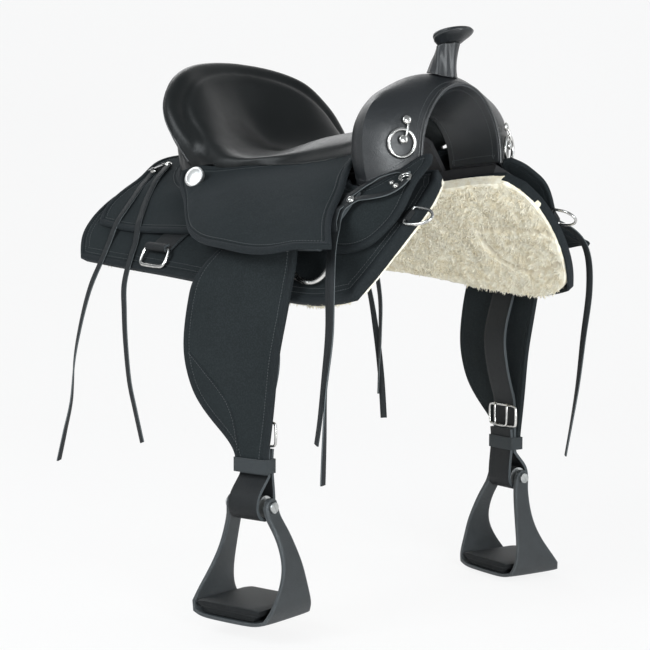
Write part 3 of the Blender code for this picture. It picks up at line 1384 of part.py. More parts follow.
def make_swell_ring(side_name, hand):
    angle = CLIP_ANGLE if hand == LEFT else math.pi - CLIP_ANGLE
    spot, up, out = fork_frame(angle, CLIP_STEP)
    wide, high, _ = CLIP_SIZE
    spot = rest_on(bpy.data.objects["fork_cover"], spot - out * 0.02, up, out, high / 2, wide / 2)
    frame = oriented(spot, up, out)
    clip = plate_with_screws(f"{side_name}_swell_clip", frame, CLIP_SIZE, NICKEL)
    rise = CLIP_SIZE[2]
    eye = 0.0042
    staple_points = [(0, y, z + rise) for y, z in (
        (-eye, -0.0008), (-eye, 0.0035), (-eye * 0.7, 0.0058), (0, 0.0066), (eye * 0.7, 0.0058),
        (eye, 0.0035),
        (eye, -0.0008))]
    staple = as_mesh(wire(f"{side_name}_clip_staple", staple_points, 0.0014, NICKEL))
    boolean(clip, staple, "UNION")
    settle(clip)
    clip.data.transform(frame)
    centre = Vector((0, 0.0, rise + 0.0028))
    ring_points = []
    axis_spot = frame @ centre
    fall = Vector((0, 0, -1))
    side_axis = frame.to_3x3() @ Vector((1, 0, 0))
    fall = (fall - side_axis * fall.dot(side_axis)).normalized()
    ring_middle = axis_spot + fall * SWELL_RING_RADIUS
    for k in range(24):
        turn = 2 * math.pi * k / 24
        ring_points.append(ring_middle + side_axis * SWELL_RING_RADIUS * math.cos(turn)
                           + fall * SWELL_RING_RADIUS * math.sin(turn))
    ring = as_mesh(wire(f"{side_name}_swell_ring", ring_points, SWELL_RING_WIRE, NICKEL, closed=True))
    shift_origin(ring, axis_spot)


STRING_PLATE = (-0.281, 0.118)


def make_strings(side_name, hand):
    place = by_reach(*STRING_PLATE)
    x, girth = place
    jockey, skirt = (bpy.data.objects[f"{side_name}_{ply}"] for ply in ("rear_jockey", "skirt"))
    up = (side((x, girth - 0.02), 0, hand) - side((x, girth + 0.02), 0, hand)).normalized()
    out = outward(place, hand)
    spot = rest_on(jockey, side(place, 0, hand), up, out, 0.018, 0.006)
    frame = oriented(spot, up, out)
    plate = plate_with_screws(f"{side_name}_string_plate", frame, (0.012, 0.036, 0.002), NICKEL)
    settle(plate)
    plate.data.transform(frame)
    low = spot - up * 0.026 + out * (LACE_RADIUS + 0.001)
    if hand == RIGHT:
        one = [low, (-0.262, -0.193, 0.0), (-0.247, -0.235, -0.036), (-0.245, -0.280, -0.085),
               (-0.262, -0.300, -0.15), (-0.285, -0.305, -0.24), (-0.315, -0.305, -0.34),
               (-0.344, -0.300, -0.445)]
        two = [low, (-0.250, -0.200, -0.005), (-0.220, -0.243, -0.045), (-0.188, -0.283, -0.096),
               (-0.165, -0.298, -0.16), (-0.145, -0.298, -0.25), (-0.125, -0.292, -0.33),
               (-0.118, -0.290, -0.396)]
    else:
        one = [low, (-0.262, 0.193, 0.0), (-0.245, 0.238, -0.038), (-0.225, 0.284, -0.09),
               (-0.205, 0.300, -0.16), (-0.185, 0.302, -0.25), (-0.168, 0.298, -0.33),
               (-0.155, 0.292, -0.405)]
        two = [low, (-0.250, 0.200, -0.005), (-0.215, 0.244, -0.046), (-0.185, 0.285, -0.098),
               (-0.172, 0.297, -0.17), (-0.170, 0.297, -0.25), (-0.168, 0.292, -0.31),
               (-0.166, 0.288, -0.360)]
    lace = spread([tuple(p) for p in one[::-1]], 24)[:-1] + spread([tuple(p) for p in two], 20)
    lace = lie_on(lace, (jockey, skirt), LACE_RADIUS, hand)
    as_mesh(wire(f"{side_name}_rear_string", lace, LACE_RADIUS, STRAP_LEATHER, sides=2))
    if hand == RIGHT:
        front = [(0.249, -0.170, -0.0065), (0.275, -0.213, -0.048), (0.311, -0.266, -0.090),
                 (0.325, -0.284, -0.141), (0.330, -0.288, -0.222), (0.328, -0.288, -0.313),
                 (0.318, -0.287, -0.398)]
    else:
        front = [(0.262, 0.180, -0.012), (0.298, 0.214, -0.032), (0.330, 0.243, -0.056),
                 (0.334, 0.270, -0.090), (0.325, 0.288, -0.149), (0.310, 0.293, -0.229),
                 (0.297, 0.294, -0.318), (0.278, 0.290, -0.428)]
    under = ("front_jockey", "skirt", "front_rigging_strap")
    over_plies = [bpy.data.objects[f"{side_name}_{ply}"] for ply in under]
    lace = lie_on(spread(front, 24), over_plies, LACE_RADIUS, hand)
    as_mesh(wire(f"{side_name}_front_string", lace, LACE_RADIUS, STRAP_LEATHER, sides=2))


make_fork()
make_horn()
for side_name, hand in HANDS.items():
    make_plies(side_name, hand)
    make_seat_jockey(side_name, hand)
    make_fender(side_name, hand)
    make_leathers(side_name, hand)
    make_stirrup(side_name, hand)
    make_front_rigging(side_name, hand)
    make_rear_rigging(side_name, hand)
    make_breast_dee(side_name, hand)
    make_swell_ring(side_name, hand)
    make_strings(side_name, hand)
make_seat()
make_cantle()
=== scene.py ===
"""Trail saddle: cloth, leather, fleece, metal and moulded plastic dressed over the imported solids.

Metres, +X towards the horn, +Y the saddle's left, +Z up. Each ply is a fine copy of its solid, with its
bound edge and its sewn rows laid along the ply's own border.
"""
import json
import math

import bmesh
import bpy
import numpy as np
from mathutils import Matrix, Vector, noise
from mathutils.bvhtree import BVHTree
from mathutils.kdtree import KDTree

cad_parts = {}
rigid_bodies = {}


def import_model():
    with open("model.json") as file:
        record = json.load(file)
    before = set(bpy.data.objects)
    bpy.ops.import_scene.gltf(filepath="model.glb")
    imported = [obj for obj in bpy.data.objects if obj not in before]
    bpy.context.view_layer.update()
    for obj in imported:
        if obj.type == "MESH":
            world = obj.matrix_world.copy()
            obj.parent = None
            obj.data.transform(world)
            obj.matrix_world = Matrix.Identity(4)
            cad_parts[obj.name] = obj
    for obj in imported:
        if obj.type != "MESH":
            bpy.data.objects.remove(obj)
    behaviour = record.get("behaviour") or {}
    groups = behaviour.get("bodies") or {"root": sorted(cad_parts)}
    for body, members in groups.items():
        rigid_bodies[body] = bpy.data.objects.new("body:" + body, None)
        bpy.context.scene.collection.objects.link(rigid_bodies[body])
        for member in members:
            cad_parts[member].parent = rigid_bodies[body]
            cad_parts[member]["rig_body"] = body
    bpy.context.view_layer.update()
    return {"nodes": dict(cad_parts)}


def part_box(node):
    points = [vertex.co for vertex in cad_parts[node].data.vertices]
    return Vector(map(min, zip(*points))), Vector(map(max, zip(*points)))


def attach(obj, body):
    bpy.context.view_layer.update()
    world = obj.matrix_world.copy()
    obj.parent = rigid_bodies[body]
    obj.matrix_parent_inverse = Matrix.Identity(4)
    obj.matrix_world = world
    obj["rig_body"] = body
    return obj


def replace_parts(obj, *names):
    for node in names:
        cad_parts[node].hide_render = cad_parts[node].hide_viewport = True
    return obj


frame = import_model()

HANDS = {"right": -1, "left": 1}
BODY_OF = {name: made["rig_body"] for name, made in frame["nodes"].items()}
UP = Vector((0, 0, 1))
INSIDE_LEVEL = -0.28  # height of the middle of the horse's barrel, which the plies face away from
FOLD = math.radians(38)  # a steeper edge ends a smooth area
FAR_FROM_EDGE = 0.05  # the distance carried where a piece has no sharp edge

scene = bpy.context.scene


def placed(name, data):
    """A new object in the scene."""
    made = bpy.data.objects.new(name, data)
    scene.collection.objects.link(made)
    return made


# Camera

PICTURE_SIDE = 650
AIM = Vector((0, 0, -0.21))
lens = bpy.data.cameras.new("camera")
lens.sensor_width = 36
lens.lens = 83.08
lens.clip_end = 50
camera = placed("camera", lens)
camera.location = (1.8394, -1.6855, -0.0487)
camera.rotation_euler = (AIM - camera.location).to_track_quat("-Z", "Y").to_euler()
scene.camera = camera
scene.view_settings.view_transform = "Standard"

SIGHT = (AIM - camera.location).normalized()
SIGHT_RIGHT = SIGHT.cross(UP).normalized()
SIGHT_UP = SIGHT_RIGHT.cross(SIGHT)


def seen_on(face, places):
    """Where places of the photograph, across and down in it, lie on a surface."""
    hits = []
    for across, down in places:
        way = (SIGHT * (PICTURE_SIDE * lens.lens / lens.sensor_width)
               + SIGHT_RIGHT * (across - PICTURE_SIDE / 2) + SIGHT_UP * (PICTURE_SIDE / 2 - down))
        hits.append(face.ray_cast(camera.location, way.normalized())[0])
    return [hit for hit in hits if hit]


# Shader maths


class Signal:
    """A socket that takes sums, so that masks are written as expressions."""

    def __init__(self, finish, socket):
        self.finish = finish
        self.socket = socket

    def maths(self, operation, *others, swap=False):
        values = [self, *others]
        if swap:
            values.reverse()
        return self.finish.node("ShaderNodeMath", {"operation": operation}, dict(enumerate(values)))

    def __add__(self, other):
        return self.maths("ADD", other)

    def __sub__(self, other):
        return self.maths("SUBTRACT", other)

    def __rsub__(self, other):
        return self.maths("SUBTRACT", other, swap=True)

    def __mul__(self, other):
        return self.maths("MULTIPLY", other)

    def __truediv__(self, other):
        return self.maths("DIVIDE", other)

    def __gt__(self, other):
        return self.maths("GREATER_THAN", other)

    __radd__ = __add__

    def wave(self, length):
        """From 0 to 1 and back once in each length."""
        return (self * (math.pi / length)).maths("SINE").maths("ABSOLUTE")

    def step(self, low, high):
        """0 below low, 1 above high, smooth between."""
        return self.finish.node("ShaderNodeMapRange", {"interpolation_type": "SMOOTHSTEP"},
                                {"Value": self, "From Min": low, "From Max": high})


class Finish:
    """One material, built from expressions."""

    def __init__(self, name, roughness, metallic=0.0, sheen=0.0, coat=0.0, specular=0.5,
                 sheen_tint=(1, 1, 1)):
        self.material = bpy.data.materials.new(name)
        self.material.use_nodes = True
        self.tree = self.material.node_tree
        self.shader = self.tree.nodes["Principled BSDF"]
        for socket, value in {
                "Roughness": roughness, "Metallic": metallic, "Sheen Weight": sheen, "Sheen Roughness": 0.45,
                "Sheen Tint": (*sheen_tint, 1), "Coat Weight": coat, "Coat Roughness": 0.25,
                "Specular IOR Level": specular}.items():
            self.shader.inputs[socket].default_value = value
        self.place = self.node("ShaderNodeTexCoord", {}, {}, "Object")
        self.facing = Signal(self, self.place.socket.node.outputs["Normal"])

    def node(self, kind, settings, inputs, out=0):
        made = self.tree.nodes.new(kind)
        for name, value in settings.items():
            setattr(made, name, value)
        for name, value in inputs.items():
            if isinstance(value, Signal):
                self.tree.links.new(value.socket, made.inputs[name])
            else:
                made.inputs[name].default_value = value
        return Signal(self, made.outputs[out])

    def noise(self, scale, detail=3.0, rough=0.55, distortion=0.0):
        return self.node("ShaderNodeTexNoise", {}, {
            "Vector": self.place, "Scale": scale, "Detail": detail, "Roughness": rough,
            "Distortion": distortion})

    def cells(self, scale):
        return self.node("ShaderNodeTexVoronoi", {"feature": "DISTANCE_TO_EDGE"}, {
            "Vector": self.place, "Scale": scale})

    def axes(self, source):
        first = self.node("ShaderNodeSeparateXYZ", {}, {0: source})
        return [Signal(self, socket) for socket in first.socket.node.outputs]

    def measured(self, name):
        """A value that the mesh carries, such as the distance from a ply's border."""
        return self.node("ShaderNodeAttribute", {"attribute_name": name}, {}, "Fac")

    def mix(self, factor, low, high):
        low, high = ((*color, 1) if isinstance(color, tuple) else color for color in (low, high))
        return self.node("ShaderNodeMix", {"data_type": "RGBA"}, {0: factor, 6: low, 7: high}, 2)

    def feed(self, name, value):
        self.tree.links.new(value.socket, self.shader.inputs[name])

    def raise_by(self, height, distance, strength=1.0):
        """Relief of a real depth."""
        relief = self.node("ShaderNodeBump", {}, {
            "Height": height, "Distance": distance, "Strength": strength})
        self.feed("Normal", relief)


def cloth_weave(finish, pitch):
    """Threads over and under, on the plane that the cloth faces."""
    x, y, z = finish.axes(finish.place)
    nx, ny, nz = (part.maths("ABSOLUTE") for part in finish.axes(finish.facing))

    def threads(a, b):
        odd = ((a / pitch).maths("FLOOR") + (b / pitch).maths("FLOOR")) * 0.5
        odd = odd.maths("FRACT")
        over = odd > 0.25
        return a.wave(pitch) * over + b.wave(pitch) * (1 - over)
    flat = nz > 0.707
    end = (nx > 0.707) * (1 - flat)
    return threads(x, y) * flat + threads(y, z) * end + threads(x, z) * ((1 - flat) * (1 - end))


def woven_finish(name, dark, light, pitch=0.0011, sheen=0.25):
    finish = Finish(name, 0.85, sheen=sheen, sheen_tint=(0.75, 0.85, 1.0), specular=0.12)
    weave = cloth_weave(finish, pitch)
    patch = finish.noise(14, 3)
    slub = finish.noise(430, 2).step(0.42, 0.64)
    lint = finish.noise(900, 2).step(0.66, 0.74)
    rim = finish.measured("rim")
    worn = 1 - rim.step(0.0, 0.0035)
    tone = weave * 0.4 + slub * 0.3 + patch * 0.3 + worn * 0.2 + lint * 0.35
    finish.feed("Base Color", finish.mix(tone, dark, light))
    finish.feed("Roughness", 0.92 - weave * 0.12 - worn * 0.1)
    groove = (rim - 0.0085).maths("ABSOLUTE").step(0.0004, 0.0022)
    puckers = finish.noise(55, 2)
    finish.raise_by(weave * 0.16 + groove * 0.9 + puckers * 0.55, 0.0011, 0.7)
    return finish.material


def hide_finish(name, dark, light, roughness, grain=520, coat=0.0, depth=0.35, cut=None, specular=0.5):
    """Leather: pebbled grain, pull-up tone, fine creases, and a paler cut edge where it has one."""
    finish = Finish(name, roughness, coat=coat, specular=specular)
    pebble = finish.cells(grain).step(0.0, 0.28)
    cloudy = finish.noise(9, 4)
    pores = finish.noise(grain * 2.6, 2)
    creases = finish.noise(38, 5.0, 0.6, 1.2)
    fold = 1 - (creases - 0.5).maths("ABSOLUTE").step(0.0, 0.035)
    tone = cloudy * 0.75 + pebble * 0.15 + pores * 0.1
    color = finish.mix(tone, dark, light)
    if cut:
        color = finish.mix(finish.measured("cut") * (pores * 0.5 + 0.6), color, cut)
    finish.feed("Base Color", color)
    finish.feed("Roughness", roughness - 0.07 + cloudy * 0.12 + fold * 0.05 + (1 - pebble) * 0.08)
    finish.raise_by(pebble * 0.5 + pores * 0.25 - fold * 0.35, 0.0006, depth)
    return finish.material


def fleece_finish(name):
    finish = Finish(name, 0.95, sheen=0.35, specular=0.15, sheen_tint=(1.0, 0.95, 0.85))
    tufts = finish.noise(240, 5.0, 0.65, 1.5)
    hairs = finish.noise(700, 3.0, 0.7, 2.5)
    locks = finish.noise(75, 4, 0.65)
    stain = finish.noise(24, 3)
    deep = finish.measured("deep")
    color = finish.mix(locks.step(0.34, 0.62) * 0.6 + tufts * 0.4, (0.8, 0.7, 0.5), (0.99, 0.95, 0.82))
    color = finish.mix(stain.step(0.54, 0.7) * 0.28, color, (0.78, 0.67, 0.45))
    color = finish.mix(hairs.step(0.58, 0.72) * 0.25, color, (0.72, 0.62, 0.43))
    # painted shade: the pile is darkened to brown along its sunk quilted rows, where shade falls
    color = finish.mix(deep * 0.5, color, (0.45, 0.36, 0.22))
    finish.feed("Base Color", color)
    finish.raise_by(tufts * 0.6 + locks * 0.7 + hairs * 0.3, 0.0032, 0.55)
    return finish.material


def metal_finish(name, light, dark, roughness):
    finish = Finish(name, roughness, metallic=1.0)
    smears = finish.noise(60, 4)
    scratches = finish.noise(900, 2.0, 0.5, 2.0)
    finish.feed("Base Color", finish.mix(smears.step(0.35, 0.7), dark, light))
    finish.feed("Roughness", roughness + smears * 0.12 + scratches.step(0.6, 0.7) * 0.12)
    finish.raise_by(smears * 0.5 + scratches * 0.2, 0.0003, 0.12)
    return finish.material


def moulded_finish(name, dark, light, roughness, grit=900, depth=0.5):
    """Moulded plastic or rubber with a spark-eroded grain, rubbed paler along its edges."""
    finish = Finish(name, roughness)
    grains = finish.cells(grit).step(0.0, 0.3)
    cloudy = finish.noise(70, 5, 0.65)
    rubbed = 1 - finish.measured("rim").step(0.0, 0.004)
    finish.feed("Base Color", finish.mix(cloudy * 0.6 + grains * 0.2 + rubbed * 0.5, dark, light))
    finish.feed("Roughness", roughness + cloudy * 0.15 - rubbed * 0.12)
    finish.raise_by(grains + cloudy * 0.4, 0.0005, depth)
    return finish.material


def tread_finish(name):
    """The stirrup tread: rough sponge on its upright faces, rubbed smoother on top, its colour lighter on the
    faces that point up.
    """
    finish = Finish(name, 0.7, specular=0.3)
    top = finish.axes(finish.facing)[2].maths("ABSOLUTE").step(0.45, 0.75)
    pits = finish.cells(330).step(0.0, 0.35)
    grains = finish.noise(620, 4, 0.7).step(0.38, 0.66)
    cloudy = finish.noise(40, 4)
    rough = (pits * 0.5 + grains * 0.7) * (1 - top * 0.75)
    finish.feed("Base Color", finish.mix(grains * 0.4 * (1 - top) + cloudy * 0.3 + top * 0.45,
                                         (0.003, 0.0036, 0.004), (0.03, 0.034, 0.0365)))
    finish.feed("Roughness", 0.82 - top * 0.27)
    finish.raise_by(rough, 0.0016, 0.9)
    return finish.material


def webbing_finish(name):
    finish = Finish(name, 0.8, sheen=0.08, specular=0.2)
    x, y, z = finish.axes(finish.place)
    ribs = z.wave(0.0016)
    cross = (x + y).wave(0.0011)
    finish.feed("Base Color", finish.mix(
        ribs * 0.6 + cross * 0.4, (0.014, 0.017, 0.018), (0.055, 0.062, 0.066)))
    finish.raise_by(ribs * 0.7 + cross * 0.3, 0.0006, 0.8)
    return finish.material


WOVEN = woven_finish("woven_cloth", (0.007, 0.009, 0.0095), (0.025, 0.031, 0.033), pitch=0.0016, sheen=0.03)
BOUND = woven_finish("binding_tape", (0.0055, 0.007, 0.0075), (0.0185, 0.0225, 0.0245), pitch=0.001,
                     sheen=0.04)
SEAT_HIDE = hide_finish("seat_leather", (0.0045, 0.0053, 0.0055), (0.0125, 0.0142, 0.0145), 0.31, 620, 0.0,
                        0.18, specular=0.25)
FORK_HIDE = hide_finish("fork_leather", (0.006, 0.0072, 0.0085), (0.02, 0.0225, 0.025), 0.36, 520, 0.12, 0.3)
STRAP_HIDE = hide_finish("strap_leather", (0.0045, 0.0054, 0.006), (0.013, 0.015, 0.0165), 0.55, 480, 0.0,
                         0.4, cut=(0.07, 0.08, 0.085), specular=0.3)
LACE_HIDE = hide_finish("lace_leather", (0.006, 0.0075, 0.0085), (0.018, 0.0215, 0.024), 0.6, 700, 0.0, 0.4,
                        cut=(0.12, 0.135, 0.14), specular=0.3)
PIPING = hide_finish("piping_leather", (0.006, 0.0068, 0.0075), (0.022, 0.0245, 0.0265), 0.3, 620, 0.25, 0.2,
                     specular=0.9)
THREAD = moulded_finish("thread", (0.02, 0.022, 0.024), (0.07, 0.076, 0.08), 0.6, 1500, 0.6)
FLEECE = fleece_finish("fleece_pile")
NICKEL = metal_finish("nickel", (0.78, 0.77, 0.74), (0.52, 0.52, 0.51), 0.16)
DISC = metal_finish("silvered_disc", (0.94, 0.94, 0.92), (0.84, 0.84, 0.83), 0.34)
ZINC = metal_finish("zinc", (0.62, 0.63, 0.62), (0.42, 0.44, 0.44), 0.3)
MOULDED = moulded_finish("stirrup_plastic", (0.009, 0.011, 0.012), (0.056, 0.064, 0.069), 0.42, 700, 0.6)
RUBBER = tread_finish("tread_rubber")
TREE = moulded_finish("tree_plastic", (0.01, 0.01, 0.011), (0.03, 0.03, 0.032), 0.6)
WEBBING = webbing_finish("keeper_webbing")


# Fine copies of the solids


def facing(out, way):
    """A way out, turned round where it goes against another way."""
    return -out if out.dot(way) < 0 else out


def points_of(node):
    """A solid's points, as rows."""
    return np.array([v.co for v in frame["nodes"][node].data.vertices])


def trees_of(*nodes):
    """Solids' faces, to find places on."""
    return [BVHTree.FromPolygons([v.co.copy() for v in frame["nodes"][n].data.vertices],
                                 [list(p.vertices) for p in frame["nodes"][n].data.polygons]) for n in nodes]


def nearest(spots):
    """Finds the nearest of some places."""
    tree = KDTree(max(len(spots), 1))
    for i, spot in enumerate(spots):
        tree.insert(spot, i)
    tree.balance()
    return tree


def rows_of(mesh, name):
    """A mesh's places, or the ways out at them, as rows."""
    rows = np.empty(len(mesh.vertices) * 3, np.float32)
    mesh.vertices.foreach_get(name, rows)
    return rows.reshape(-1, 3)


def carry(mesh, name, values, kind="POINT"):
    """Gives a mesh a value at each point or corner, for its finish to read."""
    mesh.attributes.new(name, "FLOAT", kind).data.foreach_set("value", np.asarray(values, np.float32))


def piece(name, mesh, finish, body):
    made = placed(name, mesh)
    mesh.materials.clear()
    mesh.materials.append(finish)
    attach(made, body)
    return made


def modify(made, kind, **settings):
    added = made.modifiers.new(kind.lower(), kind)
    for name, value in settings.items():
        setattr(added, name, value)


def modified(made):
    """The mesh that a piece's modifiers make."""
    return bpy.data.meshes.new_from_object(made.evaluated_get(bpy.context.evaluated_depsgraph_get()))


def subdivided(mesh, level):
    cage = placed("cage", mesh)
    modify(cage, "SUBSURF", levels=level, render_levels=level, quality=6)
    fine = modified(cage)
    bpy.data.objects.remove(cage, do_unlink=True)
    return fine


def finished(work, name):
    """The mesh of a bmesh that is done with."""
    mesh = bpy.data.meshes.new(name)
    work.to_mesh(mesh)
    work.free()
    return mesh


def cage_of(node, sharp=40):
    """A solid's mesh, joined back to quads, with its sharp edges marked to stay sharp."""
    work = bmesh.new()
    work.from_mesh(frame["nodes"][node].data)
    bmesh.ops.remove_doubles(work, verts=work.verts, dist=2e-6)
    for shape in (70, 180):
        bmesh.ops.join_triangles(work, faces=work.faces, angle_face_threshold=math.radians(50),
                                 angle_shape_threshold=math.radians(shape))
    crease = work.edges.layers.float.new("crease_edge")
    for edge in work.edges:
        if edge.calc_face_angle(0) > math.radians(sharp):
            edge[crease] = 1
    return finished(work, node)


def skins(work):
    """The solid's faces as smooth areas, largest first."""
    seen, areas = set(), []
    for first in work.faces:
        if first.index in seen:
            continue
        seen.add(first.index)
        area, todo = [], [first]
        while todo:
            face = todo.pop()
            area.append(face)
            for edge in face.edges:
                if edge.calc_face_angle(9) < FOLD:
                    for other in edge.link_faces:
                        if other.index not in seen:
                            seen.add(other.index)
                            todo.append(other)
        areas.append(area)
    areas.sort(key=lambda area: -sum(face.calc_area() for face in area))
    return areas


def outerness(area):
    """How much an area faces away from the saddle's inside."""
    total = 0.0
    for face in area:
        spot = face.calc_center_median()
        total += face.calc_area() * face.normal.dot(Vector((0, spot.y, spot.z - INSIDE_LEVEL)).normalized())
    return total


def borders(area):
    """The loops of points around an area, longest first."""
    inside = {face.index for face in area}
    links = {}
    for face in area:
        for edge in face.edges:
            if sum(other.index in inside for other in edge.link_faces) == 1:
                for point in edge.verts:
                    links.setdefault(point.index, (point, []))[1].append(edge)
    loops, used = [], set()
    for start in sorted(links):
        if start in used:
            continue
        loop, point = [], links[start][0]
        while point.index not in used:
            used.add(point.index)
            loop.append(point)
            for edge in links[point.index][1]:
                other = edge.other_vert(point)
                if other.index not in used:
                    point = other
                    break
        loops.append(loop)
    loops.sort(key=lambda loop: -len(loop))
    return loops


class Ply:
    """A fine copy of one solid, with its outer face's border, the way in from it and the way out of it."""

    def __init__(self, node, finish, level=3, soften=0, sharp=40, round_by=0.0011, sculpt=None, flip=False):
        self.node = node
        self.body = BODY_OF[node]
        work = bmesh.new()
        work.from_mesh(subdivided(cage_of(node, sharp), level))
        work.verts.ensure_lookup_table()
        work.faces.ensure_lookup_table()
        if soften:
            loose = [v for v in work.verts if all(e.calc_face_angle(0) < FOLD for e in v.link_edges)]
            for _ in range(soften):
                bmesh.ops.smooth_vert(work, verts=loose, factor=0.5, use_axis_x=True, use_axis_y=True,
                                      use_axis_z=True)
        work.normal_update()
        areas = skins(work)
        faces = sorted(areas[:2], key=lambda area: -outerness(area))
        outer = faces[-1 if flip else 0]
        loop = borders(outer)[0] if len(areas) > 1 else []
        wall = {face.index for area in areas[2:] for face in area}
        self.border = [v.co.copy() for v in loop]
        self.ways(loop, outer)
        edges = [e for e in work.edges if e.calc_face_angle(0) > FOLD]
        marks = [v.co for e in edges for v in e.verts] + [(e.verts[0].co + e.verts[1].co) / 2 for e in edges]
        tree = nearest(marks)
        rim = [tree.find(v.co)[2] if marks else FAR_FROM_EDGE for v in work.verts]
        if sculpt:
            moved = [sculpt(v.co.copy(), v.normal.copy()) for v in work.verts]
            for v, spot in zip(work.verts, moved):
                v.co = spot
            work.normal_update()
        self.face = BVHTree.FromPolygons([v.co.copy() for v in work.verts],
                                         [[v.index for v in face.verts] for face in outer])
        mesh = finished(work, node)
        carry(mesh, "rim", rim)
        carry(mesh, "cut", np.repeat([float(i in wall) for i in range(len(mesh.polygons))],
                                     [p.loop_total for p in mesh.polygons]), "CORNER")
        mesh.shade_smooth()
        mesh.set_sharp_from_angle(angle=math.radians(50))
        self.made = piece(f"{node}_{finish.name.split('_')[-1]}", mesh, finish, self.body)
        if round_by:
            modify(self.made, "BEVEL", width=round_by, segments=2, limit_method="ANGLE",
                   angle_limit=math.radians(45))
        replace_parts(self.made, node)

    def ways(self, loop, outer):
        inside = {face.index for face in outer}
        count = len(loop)
        self.out, self.inward = [], []
        for i, point in enumerate(loop):
            around = [face for face in point.link_faces if face.index in inside]
            normal = sum((face.normal for face in around), Vector()).normalized()
            middle = sum((face.calc_center_median() for face in around), Vector()) / len(around)
            run = (loop[(i + 1) % count].co - loop[i - 1].co).normalized()
            inward = run.cross(normal)
            if inward.dot(middle - point.co) < 0:
                inward = -inward
            self.out.append(normal)
            self.inward.append(inward.normalized())
        for _ in range(2):
            self.inward = [
                (self.inward[i - 1] + self.inward[i] * 2 + self.inward[(i + 1) % count]).normalized()
                for i in range(count)]

    def on_face(self, spot, rise=0.0):
        """The nearest place on the ply's outer face, and the way out of it there."""
        near, out, _, _ = self.face.find_nearest(spot)
        return near + out * rise, out

    def line_at(self, inset):
        """The border moved in over the face, as places and ways out."""
        line = [self.on_face(p + d * inset) for p, d in zip(self.border, self.inward)]
        count = len(line)
        spots = [p for p, _ in line]
        for _ in range(2):
            spots = [(spots[i - 1] + spots[i] * 2 + spots[(i + 1) % count]) / 4 for i in range(count)]
        return [self.on_face(p) for p in spots]

    def bind(self, thick, rise, width=0.0085):
        """A tape folded over the border."""
        rings = []
        for spot, out, inward in zip(self.border, self.out, self.inward):
            near, up = self.on_face(spot + inward * width)
            half, half_up = self.on_face(spot + inward * width * 0.5)
            rings.append([
                near - up * 0.0005, near + up * rise * 0.35, near.lerp(half, 0.15) + up * rise,
                half + half_up * rise * 1.25, spot + inward * 0.0012 + out * rise,
                spot - inward * rise * 0.9 - out * 0.0008,
                spot - inward * rise * 0.9 - out * (thick - 0.0008),
                spot + inward * 0.001 - out * (thick + rise * 0.4),
                spot + inward * width * 0.6 - out * thick * 0.6,
            ])
        swept(f"{self.node}_binding", rings, BOUND, self.body, closed=True)

    def sew(self, inset, pitch=0.0044, name="stitches"):
        """A sewn row that follows the border."""
        stitches(f"{self.node}_{name}", self.line_at(inset), pitch, self.body, closed=True)

    def cord_edge(self, name, radius, inset, rise):
        """Piping around the border."""
        spots = [p + d * inset + n * rise for p, d, n in zip(self.border, self.inward, self.out)]
        tube(f"{self.node}_{name}", spots, radius, PIPING, self.body, closed=True)


def plain_mesh(name, points, faces):
    mesh = bpy.data.meshes.new(name)
    mesh.from_pydata([tuple(p) for p in points], [], faces)
    mesh.shade_smooth()
    return mesh


def between(first, count, steps):
    """Faces between rings of points that follow one another."""
    return [(a + j, a + (j + 1) % count, a + count + (j + 1) % count, a + count + j)
            for a in range(first, first + count * steps, count) for j in range(count)]


def shell(name, points, faces, finish, body, sharp=180):
    """A piece from points and faces, with all its faces turned outwards."""
    mesh = plain_mesh(name, points, faces)
    work = bmesh.new()
    work.from_mesh(mesh)
    bmesh.ops.recalc_face_normals(work, faces=work.faces)
    work.to_mesh(mesh)
    work.free()
    mesh.shade_smooth()
    if sharp < 180:
        mesh.set_sharp_from_angle(angle=math.radians(sharp))
    return piece(name, mesh, finish, body)


def swept(name, rings, finish, body, closed=False, sharp=50):
    """A solid through rings of points, its open ends capped."""
    count = len(rings[0])
    end = (len(rings) - 1) * count
    faces = between(0, count, len(rings) - 1)
    if closed:
        faces += [(end + j, end + (j + 1) % count, (j + 1) % count, j) for j in range(count)]
    else:
        faces += [tuple(range(count))[::-1], tuple(range(end, end + count))]
    return shell(name, [p for ring in rings for p in ring], faces, finish, body, sharp)


def circle(spot, across, other, radius, sides):
    """Points round a place, in the plane of two ways."""
    return [spot + (across * math.cos(t) + other * math.sin(t)) * radius
            for t in (2 * math.pi * k / sides for k in range(sides))]


def tube(name, spots, radius, finish, body, closed=False, sides=10):
    """A round cord of leather or wire along a line."""
    rings = []
    count = len(spots)
    across = None
    for i, spot in enumerate(spots):
        before = spots[i - 1] if closed or i else spot
        after = spots[(i + 1) % count] if closed or i < count - 1 else spot
        run = (after - before).normalized()
        if across is None:
            across = run.orthogonal()
        across = (across - run * across.dot(run)).normalized()
        rings.append(circle(spot, across, run.cross(across), radius, sides))
    return swept(name, rings, finish, body, closed)


def turned(name, profile, spot, out, finish, sides=32):
    """A round metal piece from a profile of (radius, height), standing on a spot."""
    out = out.normalized()
    across = out.orthogonal().normalized()
    rings = [circle(spot + out * height, across, out.cross(across), radius, sides)
             for radius, height in profile]
    return swept(name, rings, finish, "saddle", sharp=40)


def evenly(points, step, closed=False):
    """Places at equal steps along a line of vectors."""
    points = list(points) + ([points[0]] if closed else [])
    run = [0.0]
    for a, b in zip(points[:-1], points[1:]):
        run.append(run[-1] + (b - a).length)
    count = max(2, round(run[-1] / step) + 1)
    places, at = [], 0
    for i in range(count):
        goal = run[-1] * i / (count - 1)
        while at < len(run) - 2 and run[at + 1] < goal:
            at += 1
        share = (goal - run[at]) / max(run[at + 1] - run[at], 1e-9)
        places.append(points[at].lerp(points[at + 1], share))
    return places[:-1] if closed else places


